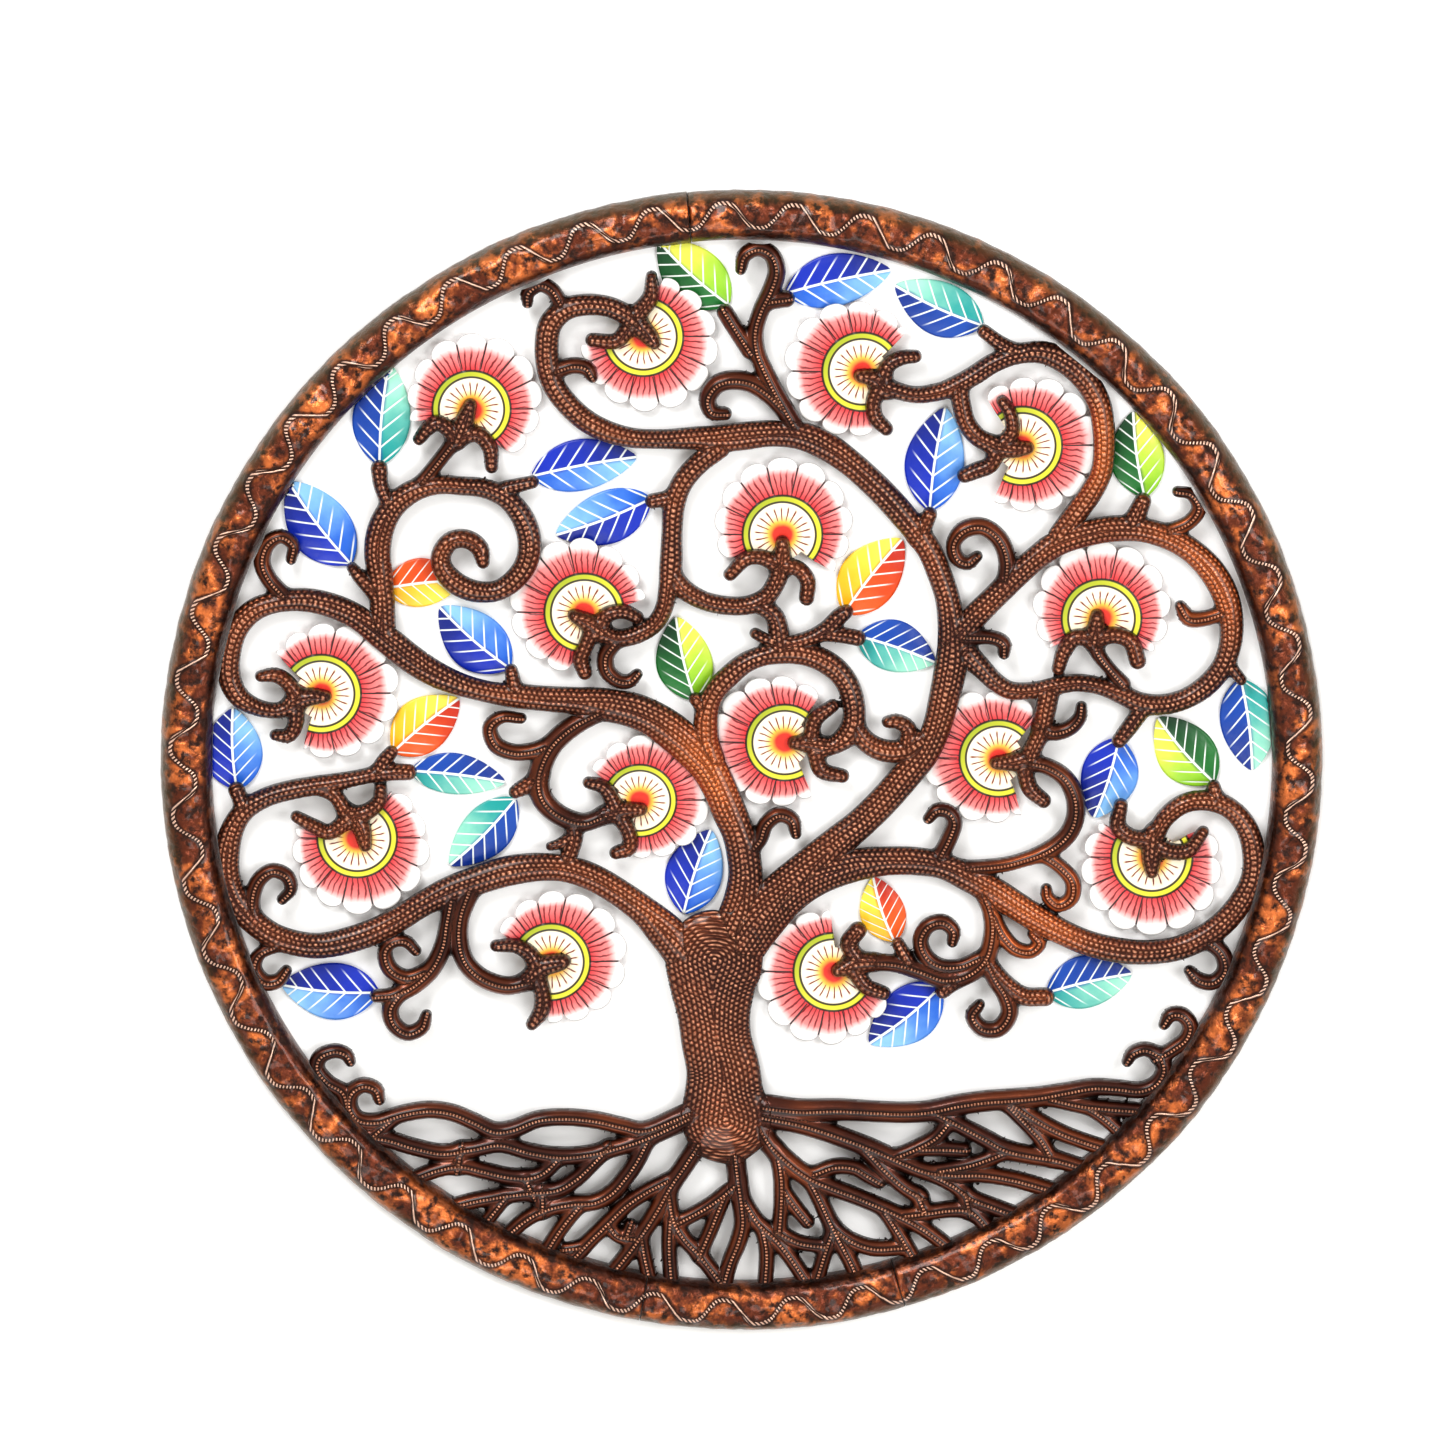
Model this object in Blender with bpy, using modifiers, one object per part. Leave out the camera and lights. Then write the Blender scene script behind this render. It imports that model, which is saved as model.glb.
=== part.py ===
# Round wall tree: a hammered rim of three strips around an openwork tree,
# with a trunk, curling limbs, roots, fifteen flowers and twenty-six leaves.
# Front faces -Y, the wall side is +Y, +Z is up. The origin is the rim's centre.
import math

import bmesh
import bpy
from mathutils import Matrix, Vector

MM = 0.001

# Overall sizes, in millimetres.
RING_OUTER_DIAMETER = 600.0
RIM_WIDTH = 26.0
RIM_HEIGHT = 15.0
SHEET = 1.2
GAP = 0.35

# The wall touches the rim's back edge this far behind the origin.
WALL_PLANE = RIM_HEIGHT / 2.0

# Depth of each layer's back edge in front of the wall.
LEAF_BACK = 0.8
FLOWER_BACK = 3.8
LIMB_BACK = 7.6

# Heights of the embossed shapes above their own back edge.
LEAF_RISE = 1.6
FLOWER_RISE = 2.4
LIMB_HEIGHT = 6.4
TRUNK_HEIGHT = 7.4
THIN_HEIGHT_SHARE = 0.62

# Widths of the strands, which the points below scale.
TRUNK_WIDTH = 37.0
BOUGH_WIDTH = 16.0
LIMB_WIDTH = 12.0
CURL_WIDTH = 8.0
ROOT_WIDTH = 9.5
CALYX_WIDTH = 9.0

# Painted pieces.
PETAL_RADIUS = 36.0
PETAL_NOTCH = 3.4
FLOWER_RING_RADIUS = 23.8
PETAL_COUNT = 11
FLOWER_OPEN_ANGLE = 92.0
LEAF_LENGTH = 50.0
LEAF_WIDTH = 30.0

# Seams of the rim, in degrees from +X towards +Z.
SEAM_TOP = 95.4
SEAM_LOWER_LEFT = 259.8
SEAM_LOWER_RIGHT = 286.5
SEAM_GAP = 0.6
RIM_STEPS_FULL_TURN = 80

INNER_RADIUS = RING_OUTER_DIAMETER / 2.0 - RIM_WIDTH
LAYOUT = INNER_RADIUS / 274.0
STEP = 19.0

WIDTH_BASE = {"trunk": 37.0, "bough": 16.0, "limb": 12.0, "curl": 8.0, "root": 9.5, "calyx": 9.0}
WIDTH_NOW = {
    "trunk": TRUNK_WIDTH,
    "bough": BOUGH_WIDTH,
    "limb": LIMB_WIDTH,
    "curl": CURL_WIDTH,
    "root": ROOT_WIDTH,
    "calyx": CALYX_WIDTH,
}

# Each strand is a family and its points: across, up and width, in millimetres.
TREE = {
    "trunk": [
        ("trunk", [(-8, -188, 46), (-9, -176, 41), (-9.5, -162, 38), (-13, -146, 36.5), (-14.5, -130, 38),
                   (-15, -114, 44), (-14, -102, 50)]),
    ],
    "bough_right": [
        ("bough", [(-4, -100, 27), (9, -82, 27), (22, -68, 24), (36, -54, 20), (50, -41, 17), (62, -31, 16),
                   (74, -19, 16), (86, -5, 16), (95, 6, 15), (101, 20, 15), (104.5, 34, 16), (107.5, 48, 17),
                   (109, 62, 16), (108, 76, 14), (106, 88, 13), (102, 100, 13), (97, 112, 13), (90, 122, 13),
                   (82, 132, 14), (74, 141, 14), (66, 149, 14), (56, 158, 14), (44, 166.5, 15),
                   (30, 172.5, 15), (15, 173.5, 14), (0, 172, 15), (-12, 171, 14), (-25, 171, 12),
                   (-40, 170.5, 10.5), (-55, 171, 10.5), (-68, 174, 11.5), (-80, 180, 12), (-90, 189, 12),
                   (-97, 199, 12), (-100, 210, 12.5), (-100.5, 221, 12.5), (-98.5, 231, 12.5),
                   (-91, 238.5, 12), (-80, 241, 11.5), (-69, 240, 11), (-60, 236, 11), (-54, 231, 11)]),
        ("calyx", [(-55, 232, 11), (-49, 226, 10), (-45, 221, 7)]),
        ("calyx", [(-54, 236, 10), (-47, 245, 9), (-46.5, 256, 6)]),
        ("calyx", [(-58, 229, 9), (-65, 222, 8.5), (-77, 222.5, 7.5)]),
        ("curl", [(-97, 206, 9), (-88, 209, 9), (-80.5, 208, 8.5), (-77, 203, 6)]),
        ("curl", [(-93, 241, 8), (-97.5, 248.5, 8), (-104, 251.5, 8), (-110, 247.5, 7.5), (-110.5, 242, 6)]),
        ("limb", [(91, 119, 10), (97, 131, 8)]),
    ],
    "bough_left": [
        ("bough", [(-14, -104, 24), (-5, -88, 22), (0, -74, 20), (2, -60, 18), (1, -48, 17.5), (-2, -36, 17),
                   (-7, -24, 18), (-12, -12, 18), (-18, -1, 19), (-26, 8, 20), (-35, 16, 20), (-45, 23, 19),
                   (-56, 28, 18.5), (-70, 31, 17.5), (-85, 33, 14.5), (-100, 34, 13.5), (-115, 35.5, 13),
                   (-130, 37.5, 11.5), (-145, 41.5, 12), (-159, 47.5, 14), (-172, 56, 15), (-184, 66, 15),
                   (-197, 76, 13.5), (-210, 82.5, 13), (-225, 86, 12.5), (-240, 85, 11.5), (-252, 80.5, 12),
                   (-260.5, 71, 12), (-264.5, 58, 12), (-264.5, 45, 12), (-259.5, 35, 11), (-250, 29.5, 9),
                   (-240, 28, 8.5), (-231, 31, 10)]),
        ("calyx", [(-232, 32, 10), (-224, 35, 10), (-215, 35.5, 6.5)]),
        ("calyx", [(-230, 36, 9), (-235, 43, 8.5), (-241, 46.5, 8), (-248.5, 46, 6)]),
        ("calyx", [(-230, 29, 9), (-230.5, 21, 8.5), (-234, 15, 8), (-241, 15, 6)]),
        ("curl", [(-236, 88, 9), (-244, 97, 9), (-247.5, 106, 9), (-245, 115, 8.5), (-238, 119.5, 7.5),
                  (-231.5, 115, 7), (-232.5, 107.5, 6)]),
        ("limb", [(-117, 38, 9), (-119, 49, 7)]),
        ("curl", [(3, -47, 8), (9.5, -40, 8), (12.5, -32, 8.5), (19, -27, 8.5), (26, -29.5, 8), (28, -37, 6)]),
    ],
    "limb_lower_left": [
        ("bough", [(-22, -108, 24), (-29, -100, 22), (-38, -90, 20), (-49, -79, 16), (-62, -69, 14.5),
                   (-76, -60.5, 14.5), (-90, -55.5, 14.5), (-104, -54.5, 15), (-120, -56.5, 16),
                   (-135, -61, 15.5), (-150, -66.5, 15), (-164, -73.5, 13.5), (-180, -83.5, 13.5),
                   (-198, -91.5, 14), (-219, -96, 13.5), (-238, -92.5, 13.5), (-251, -84.5, 13.5),
                   (-261, -73, 14), (-266, -60, 14), (-266, -46, 13.5), (-262.5, -33, 12), (-256, -24, 11),
                   (-245, -17.5, 10.5), (-231, -13.5, 10.5), (-216, -11, 10), (-201, -8, 8.5),
                   (-189, -5.5, 8.5), (-180, -4.5, 9), (-172, -4.5, 8.5)]),
        ("limb", [(-188, -4, 8), (-185, 1, 8), (-181, 6, 7)]),
        ("limb", [(-258, -22, 8), (-261, -14, 9)]),
        ("limb", [(-218, -12, 9), (-210, -17, 8.5), (-205, -25, 8.5)]),
        ("calyx", [(-204, -25, 9), (-197, -33, 10), (-194.5, -43, 7)]),
        ("calyx", [(-204, -30, 9), (-213, -36, 8.5), (-221, -33, 8), (-230, -28, 6.5)]),
        ("calyx", [(-203, -27, 9), (-194, -25.5, 9), (-187.5, -20, 8), (-186.5, -13, 7)]),
        ("curl", [(-252, -83, 8), (-253, -72, 8.5), (-250, -62, 8.5), (-243, -56.5, 8), (-235.5, -59, 8),
                  (-233, -66, 7), (-237.5, -71.5, 6)]),
        ("curl", [(-241, -96, 7), (-249.5, -100.5, 7), (-252, -108.5, 8.5), (-247, -115, 9),
                  (-240, -114.5, 8), (-235.5, -109, 6)]),
        ("curl", [(-150, -71, 9), (-152.5, -84, 8), (-154.5, -96, 9.5), (-160, -107.5, 10), (-170, -117, 10),
                  (-180, -121.5, 8), (-189, -122.5, 7)]),
        ("curl", [(-162, -109, 8), (-173, -112.5, 8.5), (-181.5, -108.5, 9), (-184.5, -100, 8),
                  (-181, -94.5, 6.5), (-174, -93.5, 7), (-168.5, -98.5, 6)]),
        ("curl", [(-175, -119, 8), (-181.5, -128.5, 9), (-180, -137, 9), (-173, -142, 8.5), (-165.5, -139, 8),
                  (-163, -132.5, 6)]),
        ("curl", [(-141, -67, 12), (-145.5, -81, 10), (-146, -94, 10), (-142.5, -105, 10), (-134, -113, 10),
                  (-122, -117, 10), (-110, -115, 9.5)]),
        ("calyx", [(-111, -114, 10), (-103, -107, 11), (-96, -105, 10), (-91.5, -104, 7)]),
        ("calyx", [(-106, -107, 9), (-110, -100, 9), (-117, -96, 8), (-127, -96, 6.5)]),
        ("calyx", [(-106, -111, 9), (-103, -121, 9), (-103.5, -130, 9), (-108.5, -137.5, 6.5)]),
    ],
    "limb_lower_right": [
        ("bough", [(12, -82, 20), (26, -68, 20), (40, -59, 20), (56, -54, 18), (73, -51.5, 15.5),
                   (90, -51.5, 15), (104, -54, 14), (117, -60, 15), (130, -67, 15), (142, -75, 15),
                   (154, -82.5, 14.5), (167, -89.5, 13.5), (180, -95, 13.5), (195, -98.5, 13.5),
                   (210, -99.5, 13), (225, -97.5, 13), (238, -92, 13), (249, -84, 13), (258, -73, 12.5),
                   (264, -60, 12), (264.5, -46, 12), (260.5, -33, 11.5), (252, -23.5, 11), (241, -19.5, 11),
                   (229, -21, 10.5), (219.5, -28, 10), (214, -37, 9.5)]),
        ("limb", [(246, -20, 8), (244, -12, 7)]),
        ("calyx", [(213, -36, 10), (212, -47, 11), (212, -57, 7)]),
        ("calyx", [(212, -41, 9), (221, -46, 9), (231, -45.5, 8.5), (238.5, -36, 6.5)]),
        ("calyx", [(211, -40, 9), (201, -38.5, 9), (194.5, -32.5, 9), (196, -22, 7.5)]),
        ("curl", [(241, -93, 9), (248.5, -100, 9), (250, -109, 9), (244, -115, 8.5), (236.5, -114, 8.5),
                  (231.5, -109, 6)]),
        ("curl", [(102, -50, 9), (107.5, -39, 9), (110, -31, 8.5), (107, -25.5, 8), (101, -24.5, 7.5),
                  (96.5, -29, 6)]),
        ("curl", [(116, -55, 8), (134, -53.5, 8), (146, -50.5, 8), (158, -46, 9.5), (168, -38, 10),
                  (172.5, -28, 10), (172, -17, 10), (167, -7.5, 9.5), (158, -1.5, 9), (147, 1, 9)]),
        ("curl", [(156, -48, 8), (165, -54.5, 8), (171, -62, 8.5), (170.5, -70.5, 8.5), (164, -74.5, 7.5),
                  (158.5, -70.5, 7), (157.5, -66, 6)]),
        ("limb", [(159, 38, 11), (157, 28, 11), (155, 18, 10), (151, 9, 10), (147, 1, 9.5)]),
        ("curl", [(154, 20, 9), (161, 16.5, 9), (169, 18.5, 8.5), (174.5, 24, 7.5), (175.5, 30, 6)]),
        ("calyx", [(149, 3, 10), (141, 1, 10), (131.5, 0.5, 7)]),
        ("calyx", [(146, -3, 9), (149, -13, 9), (156, -19.5, 8)]),
    ],
    "limb_right": [
        ("limb", [(108, 64, 14), (119, 76, 13.5), (130, 87, 13), (141, 98, 13), (152, 108, 13),
                  (164, 116.5, 14), (178, 121, 14), (192, 123.5, 14), (206, 123, 13), (220, 119, 13),
                  (232, 112, 13), (242, 102, 14), (249, 90, 14), (252.5, 77, 13), (252.5, 64, 12),
                  (248.5, 51.5, 11.5), (240, 41, 11.5), (229, 34, 11), (217, 31, 11), (206, 32, 11),
                  (196, 36.5, 10.5), (186, 40.5, 9.5), (174, 42.5, 9.5), (162, 41, 9.5), (150, 38.5, 9),
                  (139, 38.5, 9.5), (131, 43, 10), (124, 50, 11), (116, 58, 13)]),
        ("curl", [(197, 42, 8), (190, 50, 7), (184, 58, 8), (182, 66, 9)]),
        ("calyx", [(182, 64, 11), (183, 71, 9.5), (183.5, 78, 7)]),
        ("calyx", [(181, 66, 9), (172, 66, 9), (166.5, 59, 8.5), (163.5, 50, 7)]),
        ("calyx", [(184, 66, 9), (193, 67.5, 9), (201, 64, 9), (204.5, 54, 9)]),
        ("curl", [(112, 67, 10), (128, 66.5, 8), (135, 63.5, 8), (135.5, 58, 6.5)]),
        ("curl", [(136, 93, 9), (137, 107, 9.5), (133, 118, 9.5), (124.5, 124.5, 9.5), (115, 123, 9.5),
                  (109.5, 116, 8), (111, 108.5, 8), (116.5, 105.5, 7.5), (121.5, 109, 6)]),
        ("curl", [(220, 122, 8), (231, 127, 8), (236, 134.5, 8), (232, 141.5, 6.5), (225, 143, 6)]),
        ("curl", [(250, 80, 8), (239.5, 76.5, 8.5), (231, 76.5, 9), (226.5, 83, 6)]),
        ("limb", [(202, 127, 11), (207, 138, 9)]),
        ("limb", [(250, 54, 7), (258, 44, 6)]),
        ("limb", [(208, 30, 9), (201, 20, 9), (195, 12, 8)]),
    ],
    "limb_upper_right": [
        ("limb", [(74, 198, 9), (88, 194, 9), (100, 195, 9.5), (110, 198.5, 10), (120, 204, 10.5),
                  (130, 210.5, 10.5), (142, 215, 10.5), (155, 216, 12), (167, 211, 13), (177, 202, 13),
                  (184, 190, 12.5), (186.5, 178, 12), (187, 165, 11.5), (185.5, 153, 11.5), (180, 142, 12),
                  (172, 131, 12), (164, 120, 12)]),
        ("limb", [(112, 198, 10), (113.5, 188, 10), (116, 179, 10), (122, 171.5, 10), (131, 167, 10)]),
        ("calyx", [(75, 196, 10), (69, 202, 9.5), (61, 204, 7)]),
        ("calyx", [(73, 201, 9), (75.5, 209, 8.5), (82, 213, 8), (89.5, 214, 7)]),
        ("calyx", [(71, 198, 9), (68, 190, 8.5), (69, 182, 8.5), (74.5, 176, 7.5)]),
        ("calyx", [(130, 167, 10), (139, 165.5, 10), (147.5, 166, 7)]),
        ("calyx", [(135, 168, 9), (139.5, 175, 8), (138.5, 184, 7.5), (134.5, 190.5, 6.5)]),
        ("calyx", [(132, 164, 9), (128, 157, 9), (121, 154, 9), (115, 151.5, 8)]),
        ("limb", [(143, 216, 8), (133, 221, 8), (125, 227, 7.5)]),
    ],
    "limb_upper_left": [
        ("limb", [(-186, 70, 15), (-185.5, 84, 13), (-186.5, 98, 13), (-188, 111, 14), (-186, 124, 14),
                  (-180, 135, 13), (-170, 143, 12), (-158, 146.5, 10.5), (-145, 146, 10), (-132, 144.5, 10.5),
                  (-121, 139, 11), (-113, 129, 12), (-109.5, 117, 12.5), (-111, 106, 12), (-117, 97, 11.5),
                  (-126, 91, 11), (-137, 90.5, 11.5), (-147, 94.5, 12), (-154, 102, 11), (-155, 110, 10.5),
                  (-150, 117, 10), (-142, 118, 10), (-135.5, 113.5, 9.5), (-133.5, 106, 7)]),
        ("limb", [(-182, 136, 8), (-186, 146, 8), (-187, 155, 9)]),
        ("limb", [(-187, 88, 10), (-196, 97, 8), (-201, 103, 6)]),
        ("limb", [(-121, 145, 8), (-108, 148, 7)]),
        ("curl", [(-165, 148, 8), (-155.5, 160, 8), (-147, 171, 8.5)]),
        ("calyx", [(-147, 170, 11), (-143, 180, 10), (-140, 188.5, 7)]),
        ("calyx", [(-148, 173, 9), (-156, 179, 8.5), (-161.5, 176.5, 8), (-166.5, 170.5, 6.5)]),
        ("calyx", [(-145, 172, 9), (-136, 173, 9), (-130, 166, 8.5), (-129, 156, 7)]),
    ],
    "limb_centre": [
        ("limb", [(-15, 2, 13), (-18, 12, 13), (-18.5, 22, 13), (-17, 31, 12), (-13, 39, 11.5),
                  (-6, 46.5, 11.5), (2, 53, 11), (12, 57, 11), (25, 58.5, 12), (37, 56.5, 12.5),
                  (47, 51, 12.5), (54, 43, 12), (57.5, 33, 12), (58, 23, 12), (54.5, 15, 12), (48, 10, 10),
                  (41, 9, 10)]),
        ("calyx", [(42, 9, 11), (35, 10.5, 10), (27, 11, 7)]),
        ("calyx", [(36, 14, 9), (38, 23, 8.5), (47, 30.5, 7)]),
        ("calyx", [(38, 6, 9), (41.5, -3.5, 9), (52, -6.5, 7.5)]),
        ("limb", [(58, 21, 9), (64, 12, 11), (73, 7, 12), (84, 7, 12), (93, 12, 12)]),
        ("limb", [(86, 10, 10), (86, 18, 9), (81, 22, 8), (75.5, 22, 6.5)]),
        ("limb", [(20, 62, 9), (33, 65.5, 8), (43, 70, 9), (50, 77, 9), (54, 80, 7.5)]),
        ("limb", [(43, 68.5, 8), (52, 67.5, 8.5), (60, 66, 8.5)]),
        ("limb", [(20, 64, 8), (12, 66, 6.5), (7, 68.5, 6)]),
        ("limb", [(-20, 30, 8), (-24, 34, 7)]),
    ],
    "limb_middle": [
        ("limb", [(-12, 166, 12), (-23, 157, 11.5), (-31, 147, 11.5), (-35, 135, 11.5), (-36, 120, 11),
                  (-36.5, 105, 12), (-38, 93, 10), (-40, 82, 9.5), (-45, 73.5, 9.5), (-54, 68, 10),
                  (-64, 66, 9.5), (-72, 69, 9.5)]),
        ("calyx", [(-72, 69, 11), (-79, 74, 10), (-86.5, 78, 7)]),
        ("calyx", [(-73, 73, 9), (-69, 78.5, 8.5), (-61, 80, 8), (-54, 77, 7)]),
        ("calyx", [(-77, 70, 9), (-80.5, 62, 8.5), (-83, 55, 9), (-81, 48, 8)]),
        ("curl", [(-65, 64, 8), (-70, 57, 9), (-69.5, 49, 9), (-64, 44, 8), (-58, 43.5, 7.5), (-54, 47, 6)]),
        ("limb", [(-36, 140, 8), (-46, 138, 8)]),
        ("limb", [(-35, 98, 10), (-29, 91, 10.5), (-19, 85.5, 10), (-7, 83, 10), (4, 83.5, 10),
                  (13, 88, 10), (18.5, 97, 10), (20, 105, 10)]),
        ("calyx", [(20, 103, 10), (21, 110, 9), (21, 116.5, 7)]),
        ("calyx", [(18, 105, 9), (10, 108.5, 8.5), (2, 107.5, 8), (-6, 99.5, 7)]),
        ("calyx", [(21, 104, 9), (29, 102.5, 8.5), (34, 96, 8.5), (33.5, 87, 8)]),
        ("limb", [(20, 60, 11), (19, 70, 11), (16.5, 78, 10), (9, 84, 9)]),
    ],
    "limb_loop": [
        ("curl", [(-72, 28, 10), (-86, 20.5, 11), (-97, 11, 11.5), (-103, 0, 11.5), (-105, -10, 11.5),
                  (-102, -20, 11.5), (-93.5, -27.5, 11), (-82, -31, 10), (-70, -27, 9.5)]),
        ("curl", [(-101, 9, 9), (-109, 6.5, 9), (-118, 6, 9), (-127, 10, 9), (-130, 19, 8),
                  (-124, 24.5, 7), (-114, 24, 6)]),
        ("limb", [(-103, -6, 8), (-112, -12, 8.5), (-117, -15, 7)]),
        ("limb", [(-87, -31, 9), (-86.5, -40, 9), (-90, -50, 9)]),
        ("limb", [(-88, -38, 6), (-94, -42, 5.5), (-99, -43.5, 4.5)]),
        ("calyx", [(-71, -27, 10), (-62, -25, 10), (-52, -24, 7)]),
        ("calyx", [(-65, -24, 9), (-68, -17, 8.5), (-72, -12, 8), (-79, -10, 6.5)]),
        ("calyx", [(-63, -28, 9), (-58.5, -36, 8.5), (-58, -44, 8.5), (-65, -47, 7)]),
    ],
    "limb_spiral": [
        ("curl", [(124, -66, 9), (129, -79, 9), (129.5, -91, 9.5), (126, -103, 10), (117, -111, 10.5),
                  (105, -113.5, 10.5), (92, -109, 10), (80, -105.5, 9.5), (67, -104.5, 9)]),
        ("curl", [(122, -103, 8), (113, -106.5, 7.5), (103, -106.5, 8), (95.5, -101.5, 8.5),
                  (92.5, -93, 8.5), (96.5, -85.5, 8.5), (104, -83.5, 8.5), (109.5, -88, 7.5),
                  (109, -94, 6)]),
        ("curl", [(130, -80, 8), (134.5, -89.5, 8.5), (141, -97, 8.5), (149, -99, 8), (154, -94.5, 7.5),
                  (150.5, -89.5, 6)]),
        ("curl", [(126, -102, 9), (131, -113, 9.5), (136.5, -122, 9.5), (138.5, -131.5, 9.5),
                  (133, -139.5, 9.5), (124.5, -139.5, 9), (119.5, -133, 8), (123, -127, 6)]),
        ("limb", [(129, -107, 8), (137, -116, 9), (146, -122.5, 10), (157, -123, 10)]),
        ("limb", [(111, -114, 9), (104, -120, 8)]),
        ("limb", [(87, -106, 8), (81, -95, 7)]),
        ("calyx", [(68, -104.5, 10), (59, -105.5, 11), (49.5, -109, 7)]),
        ("calyx", [(60, -103, 9), (55.5, -95, 9.5), (60, -88, 9.5)]),
        ("calyx", [(58, -108, 9), (64, -117, 9), (73.5, -121, 7.5)]),
    ],
    "tendril_top": [
        ("curl", [(27, 178, 10), (19, 192, 9.5), (12.5, 205, 9.5), (8, 216, 9), (7, 227, 9), (10, 238, 9),
                  (15, 248.5, 9.5), (18, 258.5, 9.5), (15.5, 267, 9), (8.5, 270.5, 8.5), (1.5, 267, 8),
                  (-0.5, 259.5, 6)]),
        ("curl", [(-8.5, 237, 9), (-3, 228, 9), (4, 217, 9)]),
        ("curl", [(21, 187, 9), (14, 194, 10), (5, 200, 10.5), (-5, 201.5, 10.5), (-13, 199, 10),
                  (-17.5, 192, 9.5), (-15.5, 185, 8.5), (-8.5, 184, 7)]),
        ("curl", [(15, 243, 9), (23, 244, 9)]),
    ],
    "roots_right": [
        ("root", [(-4, -186, 12), (-4, -198, 11.5), (-3, -210, 11), (-1.5, -222, 11), (0, -233, 10),
                  (0.5, -243, 9.5), (-2, -253, 9.5), (-6, -263, 9), (-10, -277, 9)]),
        ("root", [(1, -230, 8), (8.5, -242, 9), (17, -250, 9), (25, -260, 9), (35, -275, 8.5)]),
        ("root", [(10.5, -244, 8), (13, -258, 8.5), (12, -277, 8.5)]),
        ("root", [(6, -186, 12), (15, -201, 11.5), (25, -211, 11.5), (35.5, -218.5, 11), (47, -223.5, 10),
                  (60, -228.5, 9.5), (75, -235, 9.5), (90, -242.5, 9.5), (101, -250, 9), (113, -260, 9)]),
        ("root", [(18, -203, 8.5), (20.5, -218, 9), (20.5, -232, 8.5), (19.5, -247, 8.5)]),
        ("root", [(22, -225, 7.5), (28, -234, 8.5), (34, -241.5, 8)]),
        ("root", [(19, -247, 8.5), (30, -252.5, 8.5), (43, -254.5, 8.5)]),
        ("root", [(35, -219, 8.5), (41, -231, 9), (46, -242, 9.5), (52, -254, 9.5), (58, -266, 9),
                  (61, -277, 8.5)]),
        ("root", [(47.5, -245, 8), (43.5, -257, 8.5), (37.5, -277, 8.5)]),
        ("root", [(48, -245, 8), (58, -252, 9), (69, -255.5, 9.5), (83, -255, 9)]),
        ("root", [(74, -236, 8), (81, -247, 8.5), (87, -257, 8.5), (93, -268, 8)]),
        ("root", [(10, -186, 12), (28, -189.5, 11), (42, -193.5, 11), (56, -198.5, 11), (70, -204, 10.5),
                  (83, -210, 10), (96, -215, 10), (110, -216.5, 10), (124, -216.5, 9.5), (138, -218.5, 9.5),
                  (150, -221.5, 9.5), (168, -227, 9)]),
        ("root", [(64, -203, 9), (74, -214, 9), (84, -223, 9.5), (93, -228.5, 9)]),
        ("root", [(38, -216, 8.5), (48, -212.5, 9), (58, -213, 9), (66, -217.5, 9), (71, -220.5, 8)]),
        ("root", [(80, -207, 8.5), (92, -202, 9), (101, -196.5, 9), (108, -188, 9)]),
        ("root", [(93, -203, 8), (105, -203, 9), (115, -203.5, 8.5)]),
        ("root", [(12, -181, 14), (30, -183, 13), (50, -182.5, 12), (70, -183.5, 11.5), (85, -184, 11.5),
                  (98, -183, 11.5), (112, -180, 11.5), (126, -178, 11.5), (140, -177, 11.5),
                  (155, -175.5, 11), (168, -173, 10), (182, -170.5, 9.5), (195, -171, 9), (206, -172, 9),
                  (214.5, -168.5, 9), (218.5, -161, 8.5), (216, -154, 8.5), (209, -150.5, 8),
                  (202.5, -152.5, 7.5), (199.5, -157, 6)]),
        ("root", [(215.5, -155, 8), (223, -150.5, 8.5), (230, -145, 8.5), (232, -138, 8.5),
                  (228, -132.5, 8.5), (222, -132.5, 8), (218.5, -137.5, 6)]),
        ("root", [(160, -176.5, 9), (175, -180, 9), (188, -181.5, 9), (208, -183, 8.5)]),
        ("root", [(178, -180, 8), (188, -187, 8.5), (199, -197, 8)]),
        ("root", [(140, -179, 9), (150, -186, 9.5), (162, -193, 9.5), (174, -198, 9), (192, -204, 9)]),
        ("root", [(139, -181, 9), (148.5, -191, 8.5), (155.5, -199, 8.5), (161, -209, 8)]),
        ("root", [(101, -184, 9), (114, -191, 9.5), (126, -197.5, 10), (137, -203.5, 10.5),
                  (150, -206.5, 10.5), (164, -209, 10), (182, -214.5, 9)]),
        ("root", [(102, -214.5, 8.5), (116, -212, 9), (127, -208.5, 9), (138, -204, 9)]),
        ("root", [(98, -216, 8.5), (110, -222.5, 9), (119, -229, 9.5), (130, -233.5, 9.5), (145, -239, 9)]),
        ("root", [(84, -238, 8.5), (97, -236.5, 9), (109, -235, 9.5), (119, -236, 10), (127, -244, 9),
                  (134, -253, 8.5)]),
        ("root", [(91, -227, 9), (95, -236, 9)]),
        ("root", [(116, -227, 10), (118, -236, 10)]),
    ],
    "roots_left": [
        ("root", [(-20, -180, 12), (-34, -187, 11), (-50, -193, 9.5), (-62, -191, 9.5), (-75, -188, 9.5),
                  (-90, -186.5, 9.5), (-105, -187.5, 9.5), (-118, -192.5, 10), (-128, -193.5, 10),
                  (-139, -188.5, 9.5), (-150, -184, 9.5), (-162, -182.5, 9.5), (-175, -184.5, 9.5),
                  (-188, -188.5, 9.5), (-198, -187.5, 9), (-203, -181, 9), (-202, -173.5, 9),
                  (-196, -169.5, 8.5), (-189.5, -171.5, 8), (-187.5, -177, 6.5)]),
        ("root", [(-204, -181, 8.5), (-206.5, -173, 8.5), (-214, -168, 8.5), (-219.5, -161, 8.5),
                  (-218, -154.5, 8.5), (-211, -151.5, 8), (-205, -153, 7.5), (-202.5, -157, 6)]),
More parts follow.
